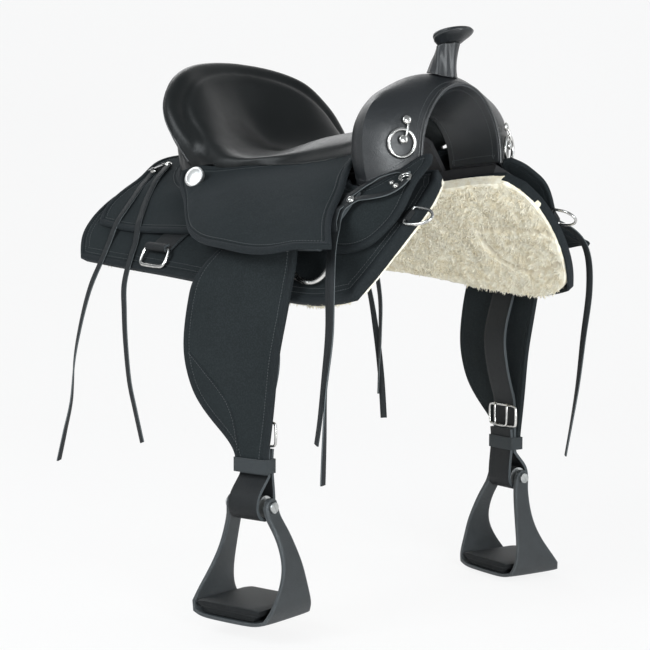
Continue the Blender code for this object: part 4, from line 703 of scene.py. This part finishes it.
def curve_through(points, step):
    """A smooth line through points, at equal steps."""
    points = [Vector(p) for p in points]
    last, fine = len(points) - 1, []
    for i in range(last):
        a, b, c, d = points[max(i - 1, 0)], points[i], points[i + 1], points[min(i + 2, last)]
        for k in range(16):
            t = k / 16
            fine.append((b * 2 + (c - a) * t + (a * 2 - b * 5 + c * 4 - d) * t * t
                         + (b * 3 - a - c * 3 + d) * t ** 3) / 2)
    return evenly(fine + [points[last]], step)


STITCH_LONG, STITCH_WIDE, STITCH_HIGH = 0.0029, 0.0009, 0.0006


def stitches(name, line, pitch, body, closed=False):
    """Sewn stitches along a line of (place, way out), as one piece."""
    spots = evenly([p for p, _ in line], pitch, closed)
    tree = nearest([p for p, _ in line])
    points, faces = [], []
    for i, spot in enumerate(spots):
        after = spots[(i + 1) % len(spots)] if closed or i < len(spots) - 1 else spot * 2 - spots[i - 1]
        run = (after - spot).normalized()
        out = line[tree.find(spot)[1]][1]
        across = run.cross(out).normalized()
        first = len(points)
        for share, grow in ((-0.5, 0.25), (-0.3, 1.0), (0.3, 1.0), (0.5, 0.25)):
            for a, b in ((-1, -0.4), (-0.7, 0.8), (0.7, 0.8), (1, -0.4)):
                points.append(spot + run * STITCH_LONG * share + across * STITCH_WIDE * 0.5 * a * grow
                              + out * STITCH_HIGH * b * grow)
        faces += between(first, 4, 3)
        faces += [(first + 3, first + 2, first + 1, first), (first + 12, first + 13, first + 14, first + 15)]
    return shell(name, points, faces, THREAD, body)


def ramp(value, start, end):
    t = min(max((value - start) / (end - start), 0.0), 1.0)
    return t * t * (3 - 2 * t)


# Saddle strings: flat laces, cut to length, with one or two tails from each plate

LACE_WIDTH = 0.012
LACE_THICK = 0.0028
LACE_SECTION = [(-1, -0.5), (-1, 0.5), (-0.9, 1), (0, 1.05), (0.9, 1), (1, 0.5), (1, -0.5), (0.9, -1),
                (0, -1), (-0.9, -1)]
LACE_STEP = 0.006
LACE_LIFT = 0.014  # how far under a ply's face a route is looked for


def laid_on(route, trees, rise):
    """A route kept just above the plies that it crosses, with the way out at each place."""
    ways = [Vector((0, spot.y, max(spot.z - INSIDE_LEVEL, 0))).normalized() for spot in route]
    lifts = []
    for spot, out in zip(route, ways):
        hits = [tree.ray_cast(spot + out * 0.05, -out, 0.05 + LACE_LIFT)[0] for tree in trees]
        lift = max(((hit - spot).dot(out) + rise for hit in hits if hit), default=0.0)
        if lift > LACE_LIFT * 1.6 or (spot.z < -0.1 and lift < 0):
            lift = 0.0
        lifts.append(lift)
    wide = [max(lifts[max(i - 1, 0):i + 2]) for i in range(len(lifts))]
    even = [sum(wide[max(i - 3, 0):i + 4]) / len(wide[max(i - 3, 0):i + 4]) for i in range(len(lifts))]
    return [spot + out * lift for spot, out, lift in zip(route, ways, even)], ways


def lace(name, spots, ways, twist):
    """A flat lace along a route; it turns over by the twist, in radians, along its free part."""
    last = len(spots) - 1
    rings = []
    for i, spot in enumerate(spots):
        run = (spots[min(i + 1, last)] - spots[max(i - 1, 0)]).normalized()
        out = (ways[i] - run * ways[i].dot(run)).normalized()
        turn = twist * ramp(i / last, 0.42, 1.0)
        across = run.cross(out)
        out, across = (out * math.cos(turn) + across * math.sin(turn),
                       across * math.cos(turn) - out * math.sin(turn))
        rings.append([spot + across * LACE_WIDTH * 0.5 * a + out * LACE_THICK * 0.5 * b
                      for a, b in LACE_SECTION])
    made = swept(name, rings, LACE_HIDE, "saddle", sharp=60)
    cut = np.zeros(len(made.data.loops), np.float32)
    for face in made.data.polygons:
        if len(face.vertices) > 4 or {v % len(LACE_SECTION) for v in face.vertices} in ({0, 1}, {5, 6}):
            cut[face.loop_start:face.loop_start + face.loop_total] = 1
    carry(made.data, "cut", cut, "CORNER")
    long = sum((b - a).length for a, b in zip(spots[:-1], spots[1:]))
    return made


TAILS = {
    "right_rear_string_outer": [
        (-0.292, -0.133, 0.05), (-0.291, -0.145, 0.038), (-0.283, -0.1655, 0.0235), (-0.2705, -0.187, 0.0075),
        (-0.262, -0.2075, -0.01), (-0.256, -0.225, -0.028), (-0.2545, -0.241, -0.049),
        (-0.255, -0.262, -0.088), (-0.25, -0.29, -0.131), (-0.262, -0.297, -0.168), (-0.284, -0.297, -0.219),
        (-0.3, -0.297, -0.27), (-0.312, -0.296, -0.339), (-0.332, -0.296, -0.392), (-0.353, -0.296, -0.446)],
    "right_rear_string_inner": [
        (-0.2655, -0.125, 0.0566), (-0.2503, -0.147, 0.0453), (-0.2416, -0.166, 0.0311),
        (-0.237, -0.18, 0.015), (-0.231, -0.1935, -0.0016), (-0.2159, -0.214, -0.0237),
        (-0.2, -0.2326, -0.0437), (-0.19, -0.246, -0.0684), (-0.178, -0.268, -0.1), (-0.163, -0.29, -0.14),
        (-0.155, -0.296, -0.18), (-0.151, -0.297, -0.228), (-0.143, -0.296, -0.293), (-0.13, -0.294, -0.34),
        (-0.114, -0.292, -0.391)],
    "left_rear_string_outer": [
        (-0.276, 0.15, 0.024), (-0.262, 0.193, 0.0), (-0.245, 0.238, -0.038), (-0.225, 0.284, -0.09),
        (-0.205, 0.3, -0.16), (-0.185, 0.302, -0.25), (-0.168, 0.298, -0.33), (-0.155, 0.292, -0.405)],
    "left_rear_string_inner": [
        (-0.27, 0.153, 0.024), (-0.25, 0.2, -0.005), (-0.215, 0.244, -0.046), (-0.185, 0.285, -0.098),
        (-0.172, 0.297, -0.17), (-0.17, 0.297, -0.25), (-0.168, 0.292, -0.31), (-0.166, 0.288, -0.36)],
    "right_front_string_long": [
        (0.326, -0.139, 0.028), (0.311, -0.13, 0.031), (0.2995, -0.1267, 0.0318), (0.2819, -0.1296, 0.03),
        (0.27, -0.1405, 0.0256), (0.26, -0.154, 0.016), (0.2545, -0.168, 0.005), (0.252, -0.183, -0.008),
        (0.2545, -0.2, -0.025), (0.264, -0.22, -0.046), (0.286, -0.25, -0.075), (0.312, -0.279, -0.12),
        (0.323, -0.29, -0.189), (0.3163, -0.292, -0.2586), (0.3081, -0.292, -0.3151),
        (0.2998, -0.291, -0.351)],
    "right_front_string_short": [
        (0.34, -0.152, 0.014), (0.337, -0.1585, 0.006), (0.3299, -0.1613, 0.0003), (0.3167, -0.1643, -0.0045),
        (0.3057, -0.1734, -0.008), (0.2906, -0.1787, -0.0093), (0.2745, -0.182, -0.01),
        (0.264, -0.192, -0.018), (0.26, -0.205, -0.03), (0.27, -0.225, -0.05), (0.296, -0.257, -0.083),
        (0.323, -0.284, -0.13),
        (0.332, -0.293, -0.2), (0.324, -0.295, -0.275), (0.3182, -0.293, -0.3425), (0.3141, -0.292, -0.406)],
    "left_front_string_long": [
        (0.262, 0.18, -0.012), (0.298, 0.214, -0.032), (0.33, 0.243, -0.056), (0.334, 0.27, -0.09),
        (0.325, 0.288, -0.149), (0.31, 0.293, -0.229), (0.297, 0.294, -0.318), (0.278, 0.29, -0.428)],
}
TWISTS = {
    "right_rear_string_outer": 1.15, "right_rear_string_inner": 0.2, "left_rear_string_outer": -0.9,
    "left_rear_string_inner": 0.7, "right_front_string_long": 0.35, "right_front_string_short": 1.25,
    "left_front_string_long": 0.8,
}
UNDER_TAILS = {"rear": ("rear_jockey", "skirt"),
               "front": ("front_jockey", "skirt", "seat_jockey", "front_rigging_strap", "fender")}


def make_strings():
    """Each tail on its way over the plies, in place of the solids' strings."""
    for name, route in TAILS.items():
        side_name, end = name.split("_")[:2]
        under = trees_of(*(f"{side_name}_{ply}" for ply in UNDER_TAILS[end]))
        rise = LACE_THICK * (1.7 if name.endswith("short") else 0.5) + 0.0008
        spots, ways = laid_on(curve_through(route, LACE_STEP), under, rise)
        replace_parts(lace(name, spots, ways, TWISTS[name]), f"{side_name}_{end}_string")


make_strings()


# Plies on the horse's sides

QUILTED = [[(478, 232), (500, 230), (522, 231), (545, 233)],
           [(480, 236), (488, 248), (500, 258), (514, 267), (530, 272), (543, 270), (556, 264)]]
QUILT_SEEN = []
LOCK_COUNT = 13000
FENDER_SEAM = [(190, 352), (206, 372), (220, 390), (229, 405), (235, 425), (239, 455)]
SEAM_SEEN = []


def locks(spot, size, seed):
    return noise.fractal(spot * size + Vector((seed, seed * 0.7, -seed)), 0.6, 2.1, 3)


def quilt_lines(hand):
    """Places along the pile's sunk rows, seen on the far pile and mirrored on the near one."""
    if not QUILT_SEEN:
        pile = trees_of("left_skirt_fleece")[0]
        for row in QUILTED:
            QUILT_SEEN.extend(curve_through(seen_on(pile, row), 0.002))
    return [Vector((p.x, hand * p.y, p.z)) for p in QUILT_SEEN]


def make_fleece(side_name, hand):
    """Pile: soft locks all over, sunk along the quilted rows, with painted shade in the rows."""
    ply = Ply(f"{side_name}_skirt_fleece", FLEECE, level=4, sharp=60, round_by=0, flip=True)
    mesh = ply.made.data
    spots, ways = rows_of(mesh, "co"), rows_of(mesh, "normal")
    rim = np.empty(len(spots), np.float32)
    mesh.attributes["rim"].data.foreach_get("value", rim)
    row = nearest(quilt_lines(hand))
    deep = np.exp(-(np.array([row.find(Vector(p))[2] or 0.1 for p in spots]) / 0.005) ** 2)
    rise = np.array([
        locks(Vector(p), 70, 3.1) * 0.002 + locks(Vector(p), 240, 9.7) * 0.0013
        + noise.fractal(Vector(p) * 16, 0.5, 2.0, 2) * 0.0034 for p in spots], np.float32)
    rise *= np.clip(rim / 0.01, 0.55, 1.0)
    inner = (ways * (spots - np.array([0, 0, INSIDE_LEVEL]))).sum(1) < 0
    rise = np.where(inner, rise - deep * 0.005, rise * 0.5)
    mesh.vertices.foreach_set("co", (spots + ways * rise[:, None]).ravel())
    # the sunk rows on the inner face, which the pile's finish darkens as painted shade
    carry(mesh, "deep", deep * inner)
    mesh.update()
    comb_locks(side_name, mesh, rim, deep)


def comb_locks(side_name, mesh, rim, deep):
    """Loose locks of pile standing out of the fleece, combed downwards."""
    rolls = np.random.RandomState(7)
    foot = min(face.center.z for face in mesh.polygons) + 0.016
    faces = [face for face in mesh.polygons
             if face.normal.dot(Vector((0, face.center.y, face.center.z - INSIDE_LEVEL))) < 0.02
             and abs(face.normal.x) < 0.5 and deep[face.vertices[0]] < 0.35
             and (rim[face.vertices[0]] > 0.006 or face.center.z < foot)]
    sizes = np.array([face.area for face in faces])
    points, shells = [], []
    for face in (faces[i] for i in rolls.choice(len(faces), LOCK_COUNT, p=sizes / sizes.sum())):
        out = face.normal
        sway = Vector(rolls.uniform(-1, 1, 3))
        way = (out * 0.3 + (sway - out * sway.dot(out)) * 0.7 + Vector((0.15, 0, -0.45))).normalized()
        across = way.cross(out).normalized()
        up = across.cross(way)
        long, wide = rolls.uniform(0.0035, 0.007), rolls.uniform(0.0007, 0.0013)
        root = face.center - out * 0.0008
        curl = (across * rolls.uniform(-1, 1) + out * rolls.uniform(-0.2, 0.9)) * long * 0.35
        first = len(points)
        for share, size in ((0.0, 1.0), (0.45, 1.05), (0.8, 0.6), (1.0, 0.08)):
            middle = root + way * long * share + curl * share * share
            points += [middle + across * wide * size, middle + up * wide * size * 0.7,
                       middle - across * wide * size]
        shells += between(first, 3, 3)
        shells += [(first + 2, first + 1, first), (first + 9, first + 10, first + 11)]
    name = f"{side_name}_fleece_locks"
    piece(name, plain_mesh(name, points, shells), FLEECE, "saddle")


def lap_seam(ply, hand):
    """The fender's lapped seam with its sewn row, seen on the near side and mirrored on the far one."""
    if not SEAM_SEEN:
        SEAM_SEEN.extend(seen_on(ply.face, FENDER_SEAM))
    line = [Vector((p.x, hand * abs(p.y), p.z)) for p in SEAM_SEEN]
    spots = [ply.on_face(p, 0.0002) for p in curve_through(line, 0.003)]
    tube(f"{ply.node}_lap_0", [p for p, _ in spots], 0.0007, BOUND, ply.body, sides=6)
    run = spots[-1][0] - spots[0][0]
    beside = [ply.on_face(p + run.cross(n).normalized() * 0.0035) for p, n in spots]
    stitches(f"{ply.node}_lap_stitches_0", beside, 0.0044, ply.body)


def ring(name, spot, out, radius, wire):
    """A round wire ring standing square to a way out."""
    across = out.orthogonal().normalized()
    round_it = circle(spot, across, out.cross(across).normalized(), radius, 40)
    tube(name, round_it, wire, NICKEL, "saddle", closed=True, sides=12)


def screw_head(name, spot, out, radius, washer=0.0):
    """A domed head, on a washer where it has one."""
    profile = [(radius * 0.98, -0.0015), (radius, radius * 0.1), (radius * 0.92, radius * 0.3),
               (radius * 0.7, radius * 0.46), (radius * 0.36, radius * 0.55), (radius * 0.08, radius * 0.56)]
    if washer:
        profile = [(washer, -0.0015), (washer, 0.0006), (washer * 0.94, 0.0011), (radius * 1.02, 0.0011)] + [
            (r, h + 0.0011) for r, h in profile[1:]]
    turned(name, profile, spot, out.normalized(), NICKEL)


def make_fittings(side_name, hand):
    """The screws and rings that hold the saddle strings."""
    for name, place, way, off, radius, washer in (
            ("string_stud_0", (-0.29, 0.135, 0.049), (0.07, 0.72, 0.69), 0.0035, 0.0048, 0.0062),
            ("string_stud_1", (-0.2682, 0.1215, 0.0582), (0.21, 0.29, 0.93), 0.0035, 0.0048, 0.0062),
            ("front_screw_0", (0.3066, 0.1502, 0.016), (0.15, 0.62, 0.77), 0.0008, 0.0036, 0.0046),
            ("front_screw_1", (0.319, 0.1544, 0.0113), (0.18, 0.76, 0.62), 0.0008, 0.0036, 0.0046),
            ("lace_screw", (0.264, 0.192, -0.0075), (0.2, 0.75, 0.6), 0.0, 0.0045, 0.0062)):
        spot, out = (Vector((x, hand * y, z)) for x, y, z in (place, way))
        screw_head(f"{side_name}_{name}", spot + out * off, out, radius, washer)
    tilt = Vector((0.25, hand * 0.54, 0.8)).normalized()
    for number, place, off, radius, wire in ((0, (0.329, 0.1455, 0.0225), 0.0022, 0.0085, 0.0015),
                                             (1, (0.333, 0.148, 0.0185), 0.0042, 0.007, 0.0013)):
        x, y, z = place
        ring(f"{side_name}_lace_ring_{number}", Vector((x, hand * y, z)) + tilt * off, tilt, radius, wire)


def make_swell_clip(side_name, hand):
    """Two screw heads on the swell and the thin loop between them, which carries the ring."""
    points = points_of(f"{side_name}_swell_clip")
    out = facing(trees_of("fork_cover")[0].find_nearest(Vector(points.mean(0)))[1], Vector((0, hand, 0)))
    rise = np.array([Vector(p).dot(UP - out * out.z) for p in points])
    high, low = (Vector(points[ends].mean(0))
                 for ends in (rise > rise.max() - 0.004, rise < rise.min() + 0.004))
    for number, spot in enumerate((high, low)):
        screw_head(f"{side_name}_clip_head_{number}", spot + out * 0.0022, out, 0.0068)
    across = (high - low).cross(out).normalized()
    bow = [high + across * 0.0018, high.lerp(low, 0.3) + out * 0.0055 + across * 0.0022,
           high.lerp(low, 0.7) + out * 0.0055 + across * 0.0022, low + across * 0.0018]
    made = tube(f"{side_name}_clip_loop", curve_through(bow, 0.0015), 0.0017, NICKEL, "saddle")
    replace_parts(made, f"{side_name}_swell_clip")


def dee_bar(side_name):
    """The breast dee's points, with the middle of its bar and the way that the bar runs."""
    points = points_of(f"{side_name}_breast_dee")
    bar = points[points[:, 0] < points[:, 0].min() + 0.006]
    return points, Vector(bar.mean(0)), Vector(np.linalg.svd(bar - bar.mean(0), full_matrices=False)[2][0])


def swung_out(side_name):
    """The breast dee's turn about its bar, so that it hangs round the skirt's front edge."""
    points, middle, way = dee_bar(side_name)
    tip = Vector(points[points[:, 0].argmax()])
    turns = [Matrix.Translation(middle) @ Matrix.Rotation(a, 4, way) @ Matrix.Translation(-middle)
             for a in (math.radians(30), math.radians(-30))]
    return min(turns, key=lambda turn: abs((turn @ tip).y))


KEEPER_SECTION = [(-1, 0), (-1, 0.7), (-0.9, 1), (0, 1.05), (0.9, 1), (1, 0.7), (1, 0), (0.9, -0.1),
                  (-0.9, -0.1)]
KEEPER_HALF_WIDTH = 0.0095


def make_dee_keeper(side_name, hand):
    """The leather fold that holds the breast dee's bar to the skirt."""
    _, middle, way = dee_bar(side_name)
    on_skirt = trees_of(f"{side_name}_skirt")[0]
    rings = []
    for step in range(9):
        back = 0.024 * (1 - step / 8) - 0.0045
        level = middle - Vector((back, 0, 0))
        low, out, _, _ = on_skirt.find_nearest(level)
        out = facing(out, Vector((0, hand, 0)))
        high = 0.003 + 0.0036 * ramp(back, 0.01, 0.001)
        if back < 0:
            low = low.lerp(level, 0.5)
        rings.append([low + way * KEEPER_HALF_WIDTH * a + out * (high * b - 0.0006)
                      for a, b in KEEPER_SECTION])
    swept(f"{side_name}_dee_keeper", rings, STRAP_HIDE, "saddle", sharp=60)


def make_tread(side_name):
    """The stirrup's tread pad, its top edge drawn out square."""
    node = f"{side_name}_stirrup_tread"
    low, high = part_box(node)
    flat = points_of(node)[:, :2]
    middle = (flat.max(0) + flat.min(0)) / 2
    way = np.linalg.svd(flat - middle, full_matrices=False)[2][1]
    deep = np.abs((flat - middle) @ way).max()

    def squared(spot, out):
        share = min(max((spot.z - low.z) / (high.z - low.z), 0.0), 1.0)
        across = ((spot.x - middle[0]) * way[0] + (spot.y - middle[1]) * way[1]) / deep
        further = math.copysign(min(abs(across), 1.0) ** 0.55, across) - across
        further *= deep * ramp(share, 0.0, 0.2) * ramp(abs(across), 0.35, 0.7)
        return Vector((spot.x + way[0] * further, spot.y + way[1] * further,
                       low.z + (high.z - low.z) * share ** 0.42))
    Ply(node, RUBBER, level=2, sharp=14, round_by=0.0012, sculpt=squared)


WIRE_SWELL = 0.22  # makes up for what smoothing takes off a wire, as a share of its thickness


def make_side(side_name, hand):
    make_dee_keeper(side_name, hand)
    make_fleece(side_name, hand)
    for part, thick in (("skirt", 0.0155), ("rear_jockey", 0.006), ("front_jockey", 0.006),
                        ("seat_jockey", 0.006), ("fender", 0.007)):
        ply = Ply(f"{side_name}_{part}", WOVEN, soften=6, round_by=0.0012)
        ply.bind(thick, 0.0006 if part == "fender" else 0.0012)
        ply.sew(0.0125)
        if part == "skirt":
            ply.sew(0.0205, name="inner_stitches")
        if part == "fender":
            lap_seam(ply, hand)
    for part in ("stirrup_leather", "stirrup_loop", "front_rigging_strap", "rear_dee_strap"):
        Ply(f"{side_name}_{part}", STRAP_HIDE, soften=2, round_by=0.0008)
    Ply(f"{side_name}_keeper_band", WEBBING, level=2, round_by=0.0004)
    for part, thick in (("swell_ring", 0.004), ("front_rigging_dee", 0.0042), ("rear_rigging_dee", 0.0028),
                       ("breast_dee", 0.0022), ("buckle_frame", 0.002), ("buckle_tongues", 0.0018)):
        turn = swung_out(side_name) if part == "breast_dee" else Matrix.Identity(4)
        Ply(f"{side_name}_{part}", NICKEL, level=2, sharp=80, round_by=0,
            sculpt=lambda spot, out: turn @ (spot + out * thick * WIRE_SWELL))
    Ply(f"{side_name}_string_plate", PIPING, level=2, round_by=0.0004)
    make_swell_clip(side_name, hand)
    make_fittings(side_name, hand)
    Ply(f"{side_name}_stirrup_bolt", ZINC, level=2, round_by=0.0005)
    Ply(f"{side_name}_stirrup_frame", MOULDED, sharp=30, round_by=0.0012)
    make_tread(side_name)
    make_concho(side_name, hand)


def make_concho(side_name, hand):
    """A plain domed concho with a raised rim."""
    node = f"{side_name}_seat_concho"
    low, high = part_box(node)
    points = points_of(node)
    out = facing(Vector(np.linalg.svd(points - points.mean(0), full_matrices=False)[2][2]), UP)
    out = (out + Vector((0.36, hand * 0.55, -0.26))).normalized()
    made = turned(f"{side_name}_concho", [
        (0.016, -0.0045), (0.0168, -0.0012), (0.0176, 0.0014), (0.0172, 0.0028), (0.0162, 0.0034),
        (0.0152, 0.0028), (0.0146, 0.0026), (0.012, 0.0036), (0.008, 0.0045), (0.004, 0.005),
        (0.0012, 0.0051)], (low + high) / 2 + out * 0.0018, out, DISC)
    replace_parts(made, node)


# The middle: fork, horn and seat


def fork_form(spot, out):
    """The cover pulled over the swells, with faint draw lines."""
    pull = noise.fractal(Vector((spot.x * 9, spot.y * 22, spot.z * 22)), 0.6, 2.0, 2)
    return spot + out * 0.0007 * pull


def wrap_form(spot, out):
    """The neck's wrapped leather, gathered in upright folds."""
    turn = math.atan2(spot.y, spot.x - 0.27)
    folds = math.sin(turn * 4 + 0.8) + 0.4 * math.sin(turn * 9 + 1.7 + math.sin(spot.z * 60))
    return spot + Vector((out.x, out.y, 0)) * 0.0015 * folds * ramp(spot.z, 0.15, 0.185)


def cap_form(spot, out):
    """A raised line and a groove round the cap, under its lip."""
    turned_out = ramp(out.z, 0.75, 0.2) * ramp(out.z, -0.9, -0.3)
    level = (spot - Vector((0.268, 0, 0.238))).dot(Vector((-0.3, 0, 0.954)))
    line = math.exp(-((level + 0.0035) / 0.0014) ** 2) - 0.8 * math.exp(-((level - 0.0002) / 0.0012) ** 2)
    return spot + out * 0.0009 * line * turned_out


def make_middle():
    fork = Ply("fork_cover", FORK_HIDE, level=4, soften=14, round_by=0.0012, sculpt=fork_form)
    fork.sew(0.0125, pitch=0.004)
    fork.cord_edge("piping", 0.0016, inset=0.0005, rise=0.0006)
    fork.cord_edge("fold_line", 0.0009, inset=0.0048, rise=0.0004)
    lining = Ply("gullet_lining", FORK_HIDE, soften=6, round_by=0.0005, flip=True)
    lining.sew(0.01, pitch=0.0042)
    Ply("horn_neck_wrap", FORK_HIDE, round_by=0.001, sculpt=wrap_form)
    Ply("horn_cap", FORK_HIDE, sharp=60, round_by=0, sculpt=cap_form)
    upholster()


RIM = [(-0.25, 0, 0.233), (-0.246, 0.05, 0.2305), (-0.235, 0.1, 0.223), (-0.214, 0.149, 0.204),
       (-0.193, 0.187, 0.16), (-0.167, 0.195, 0.12), (-0.141, 0.188, 0.085), (-0.125, 0.176, 0.052)]
SEAT_FOOT = [(-0.135, 0.168, 0.047), (-0.112, 0.17, 0.053), (-0.08, 0.1715, 0.0555), (-0.0482, 0.164, 0.0565),
             (-0.0091, 0.154, 0.059), (0.0423, 0.135, 0.0625), (0.0898, 0.1165, 0.066),
             (0.1507, 0.0975, 0.0725)]
SEAT_EDGE = [(-0.075, 0.173, 0.06), (-0.04, 0.166, 0.061), (0.02, 0.144, 0.064), (0.08, 0.121, 0.07),
             (0.14, 0.101, 0.078), (0.18, 0.091, 0.086)]


def upholster():
    """The seat and the cantle in one pull of leather over the padding, with a roll along the rim."""
    work = bmesh.new()
    for node in ("seat_pad", "cantle_cover"):
        work.from_mesh(subdivided(cage_of(node), 2))
    work.normal_update()
    moved = [v.co + v.normal * 0.0016 for v in work.verts]
    for v, spot in zip(work.verts, moved):
        v.co = spot
    for side_name, hand in HANDS.items():
        add_rod(work, curve_through([(x, hand * y, z) for x, y, z in SEAT_FOOT], 0.006), 0.005)
        add_apron(work, trees_of(f"{side_name}_seat_jockey")[0], hand)
    made = piece("seat_upholstery", finished(work, "seat_upholstery"), SEAT_HIDE, "saddle")
    modify(made, "REMESH", mode="VOXEL", voxel_size=0.0024)
    modify(made, "SMOOTH", factor=0.5, iterations=34)
    fine = modified(made)
    made.modifiers.clear()
    made.data = fine
    spots, ways = rows_of(fine, "co").astype(float), rows_of(fine, "normal").astype(float)
    rim_line = curve_through([(x, -y, z) for x, y, z in RIM[:0:-1]] + RIM, 0.004)
    rim = nearest(rim_line)
    found = [rim.find(Vector(p)) for p in spots]
    far = np.array([distance for _, _, distance in found])
    share = np.array([number for _, number, _ in found]) / (len(rim_line) - 1)
    fade = np.clip(np.minimum(share, 1 - share) / 0.05, 0.0, 1.0)
    rise = 0.0042 * np.exp(-((far - 0.013) / 0.011) ** 2) - 0.0034 * np.exp(-((far - 0.036) / 0.009) ** 2)
    soft = np.array([noise.fractal(Vector(p) * 11, 0.6, 2.0, 2) for p in spots]) * 0.0007
    spots = spots + ways * (rise * fade + soft - 0.0008)[:, None]
    fine.vertices.foreach_set("co", spots.ravel())
    carry(fine, "rim", far)
    fine.materials.clear()
    fine.materials.append(SEAT_HIDE)
    fine.shade_smooth()
    fine.update()
    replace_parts(made, "seat_pad", "cantle_cover")
    face = BVHTree.FromPolygons([Vector(p) for p in spots], [list(p.vertices) for p in fine.polygons])
    edge = []
    for spot in rim_line[2:-2]:
        back = face.find_nearest(spot + Vector((-0.006, 0, 0.002)))
        edge.append(back[0] + back[1] * 0.0002)
    tube("cantle_piping", evenly(edge, 0.004), 0.0016, PIPING, "saddle")


def add_hull(work, rings):
    """A closed hull through rings of places, added to a mesh in the making."""
    rings = [[work.verts.new(p) for p in ring] for ring in rings]
    count = len(rings[0])
    faces = [work.faces.new(rings[0][::-1]), work.faces.new(rings[-1])]
    for a, b in zip(rings[:-1], rings[1:]):
        faces += [work.faces.new((a[j], a[(j + 1) % count], b[(j + 1) % count], b[j])) for j in range(count)]
    bmesh.ops.recalc_face_normals(work, faces=faces)


def add_apron(work, jockey, hand):
    """The leather's slope from the seat's edge down onto the jockey."""
    side_way = Vector((0.12, hand, 0)).normalized()
    rings = []
    for spot in curve_through([(x, hand * y, z) for x, y, z in SEAT_EDGE], 0.006):
        reach = 0.007 + 0.018 * ramp(spot.x, -0.02, 0.12)
        low, out, _, _ = jockey.find_nearest(spot + side_way * reach - UP * (0.45 * reach + 0.004))
        out = facing(out, UP)
        rings.append([spot - side_way * 0.014 - UP * 0.003, spot + UP * 0.0005,
                      spot.lerp(low, 0.5) + UP * 0.0012, low + out * 0.0016, low - out * 0.0022,
                      spot - side_way * 0.004 - UP * 0.012])
    add_hull(work, rings)


def add_rod(work, spots, radius):
    """A round rod along a line, added to a mesh in the making."""
    rings = []
    last = len(spots) - 1
    for i, spot in enumerate(spots):
        run = (spots[min(i + 1, last)] - spots[max(i - 1, 0)]).normalized()
        across = run.cross(UP).normalized()
        rings.append(circle(spot, across, run.cross(across), radius, 10))
    add_hull(work, rings)


make_middle()
for side_name, hand in HANDS.items():
    make_side(side_name, hand)
for node in ("tree_fork", "tree_seat_shell", "right_tree_bar", "left_tree_bar"):
    made = frame["nodes"][node]
    made.data.materials.clear()
    made.data.materials.append(TREE)


# Studio


def lamp(name, place, size, power, color):
    data = bpy.data.lights.new(name, "AREA")
    data.shape = "RECTANGLE"
    data.size, data.size_y = size
    data.energy = power
    data.color = color
    made = placed(name, data)
    made.location = place
    made.rotation_euler = (Vector((0, 0, -0.15)) - made.location).to_track_quat("-Z", "Y").to_euler()


def make_floor():
    """A pale floor that bends up behind the saddle."""
    level = min(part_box(f"{side_name}_stirrup_frame")[0].z for side_name in HANDS) - 0.004
    away = Vector((-0.737, 0.676, 0))
    across = Vector((0.676, 0.737, 0))
    reach, bend, steps = 2.0, 1.8, 14
    profile = [(-6.0, 0.0), (0.0, 0.0), (reach, 0.0)]
    profile += [(reach + bend * math.sin(t), bend - bend * math.cos(t))
                for t in (math.pi / 2 * k / steps for k in range(1, steps + 1))]
    profile += [(reach + bend, 6.0)]
    rows = [[away * a + across * b + UP * (level + h) for b in (-7, -2, 0, 2, 7)] for a, h in profile]
    faces = [(i * 5 + j, i * 5 + j + 1, i * 5 + j + 6, i * 5 + j + 5)
             for i in range(len(rows) - 1) for j in range(4)]
    mesh = plain_mesh("floor", [p for row in rows for p in row], faces)
    finish = Finish("pale_floor", 0.9)
    finish.shader.inputs["Base Color"].default_value = (0.88, 0.88, 0.88, 1)
    seen, shine, through = (finish.node("ShaderNodeLightPath", {}, {}, f"Is {kind} Ray")
                            for kind in ("Camera", "Glossy", "Transmission"))
    glow = finish.node("ShaderNodeEmission", {}, {"Color": (1, 1, 1, 1), "Strength": 1.0}, "Emission")
    mixed = finish.node("ShaderNodeMixShader", {}, {
        0: (seen + shine + through).maths("MINIMUM", 1.0) * 0.86,
        1: Signal(finish, finish.shader.outputs[0]), 2: glow})
    finish.tree.links.new(mixed.socket, finish.tree.nodes["Material Output"].inputs["Surface"])
    mesh.materials.append(finish.material)
    made = placed("floor", mesh)


def make_light():
    world = bpy.data.worlds.new("studio")
    scene.world = world
    world.use_nodes = True
    nodes, links = world.node_tree.nodes, world.node_tree.links
    soft = nodes["Background"]
    soft.inputs["Color"].default_value = (0.93, 0.97, 1.0, 1)
    soft.inputs["Strength"].default_value = 0.33
    bright = nodes.new("ShaderNodeBackground")
    bright.inputs["Color"].default_value = (1, 1, 1, 1)
    looked = nodes.new("ShaderNodeLightPath")
    chosen = nodes.new("ShaderNodeMixShader")
    for number, socket in enumerate((looked.outputs["Is Camera Ray"], soft.outputs[0], bright.outputs[0])):
        links.new(socket, chosen.inputs[number])
    links.new(chosen.outputs[0], nodes["World Output"].inputs[0])
    lamp("key", (-0.3, -2.7, 1.4), (1.5, 1.7), 58, (0.92, 0.97, 1.0))
    lamp("fill", (2.6, -1.1, 0.05), (1.1, 1.1), 57, (0.94, 0.98, 1.0))
    lamp("side", (2.3, 1.7, 0.8), (1.0, 1.6), 16, (0.9, 0.96, 1.0))
    lamp("back", (-2.2, 0.9, 2.0), (1.6, 1.6), 16, (0.98, 0.99, 1.0))


make_floor()
make_light()
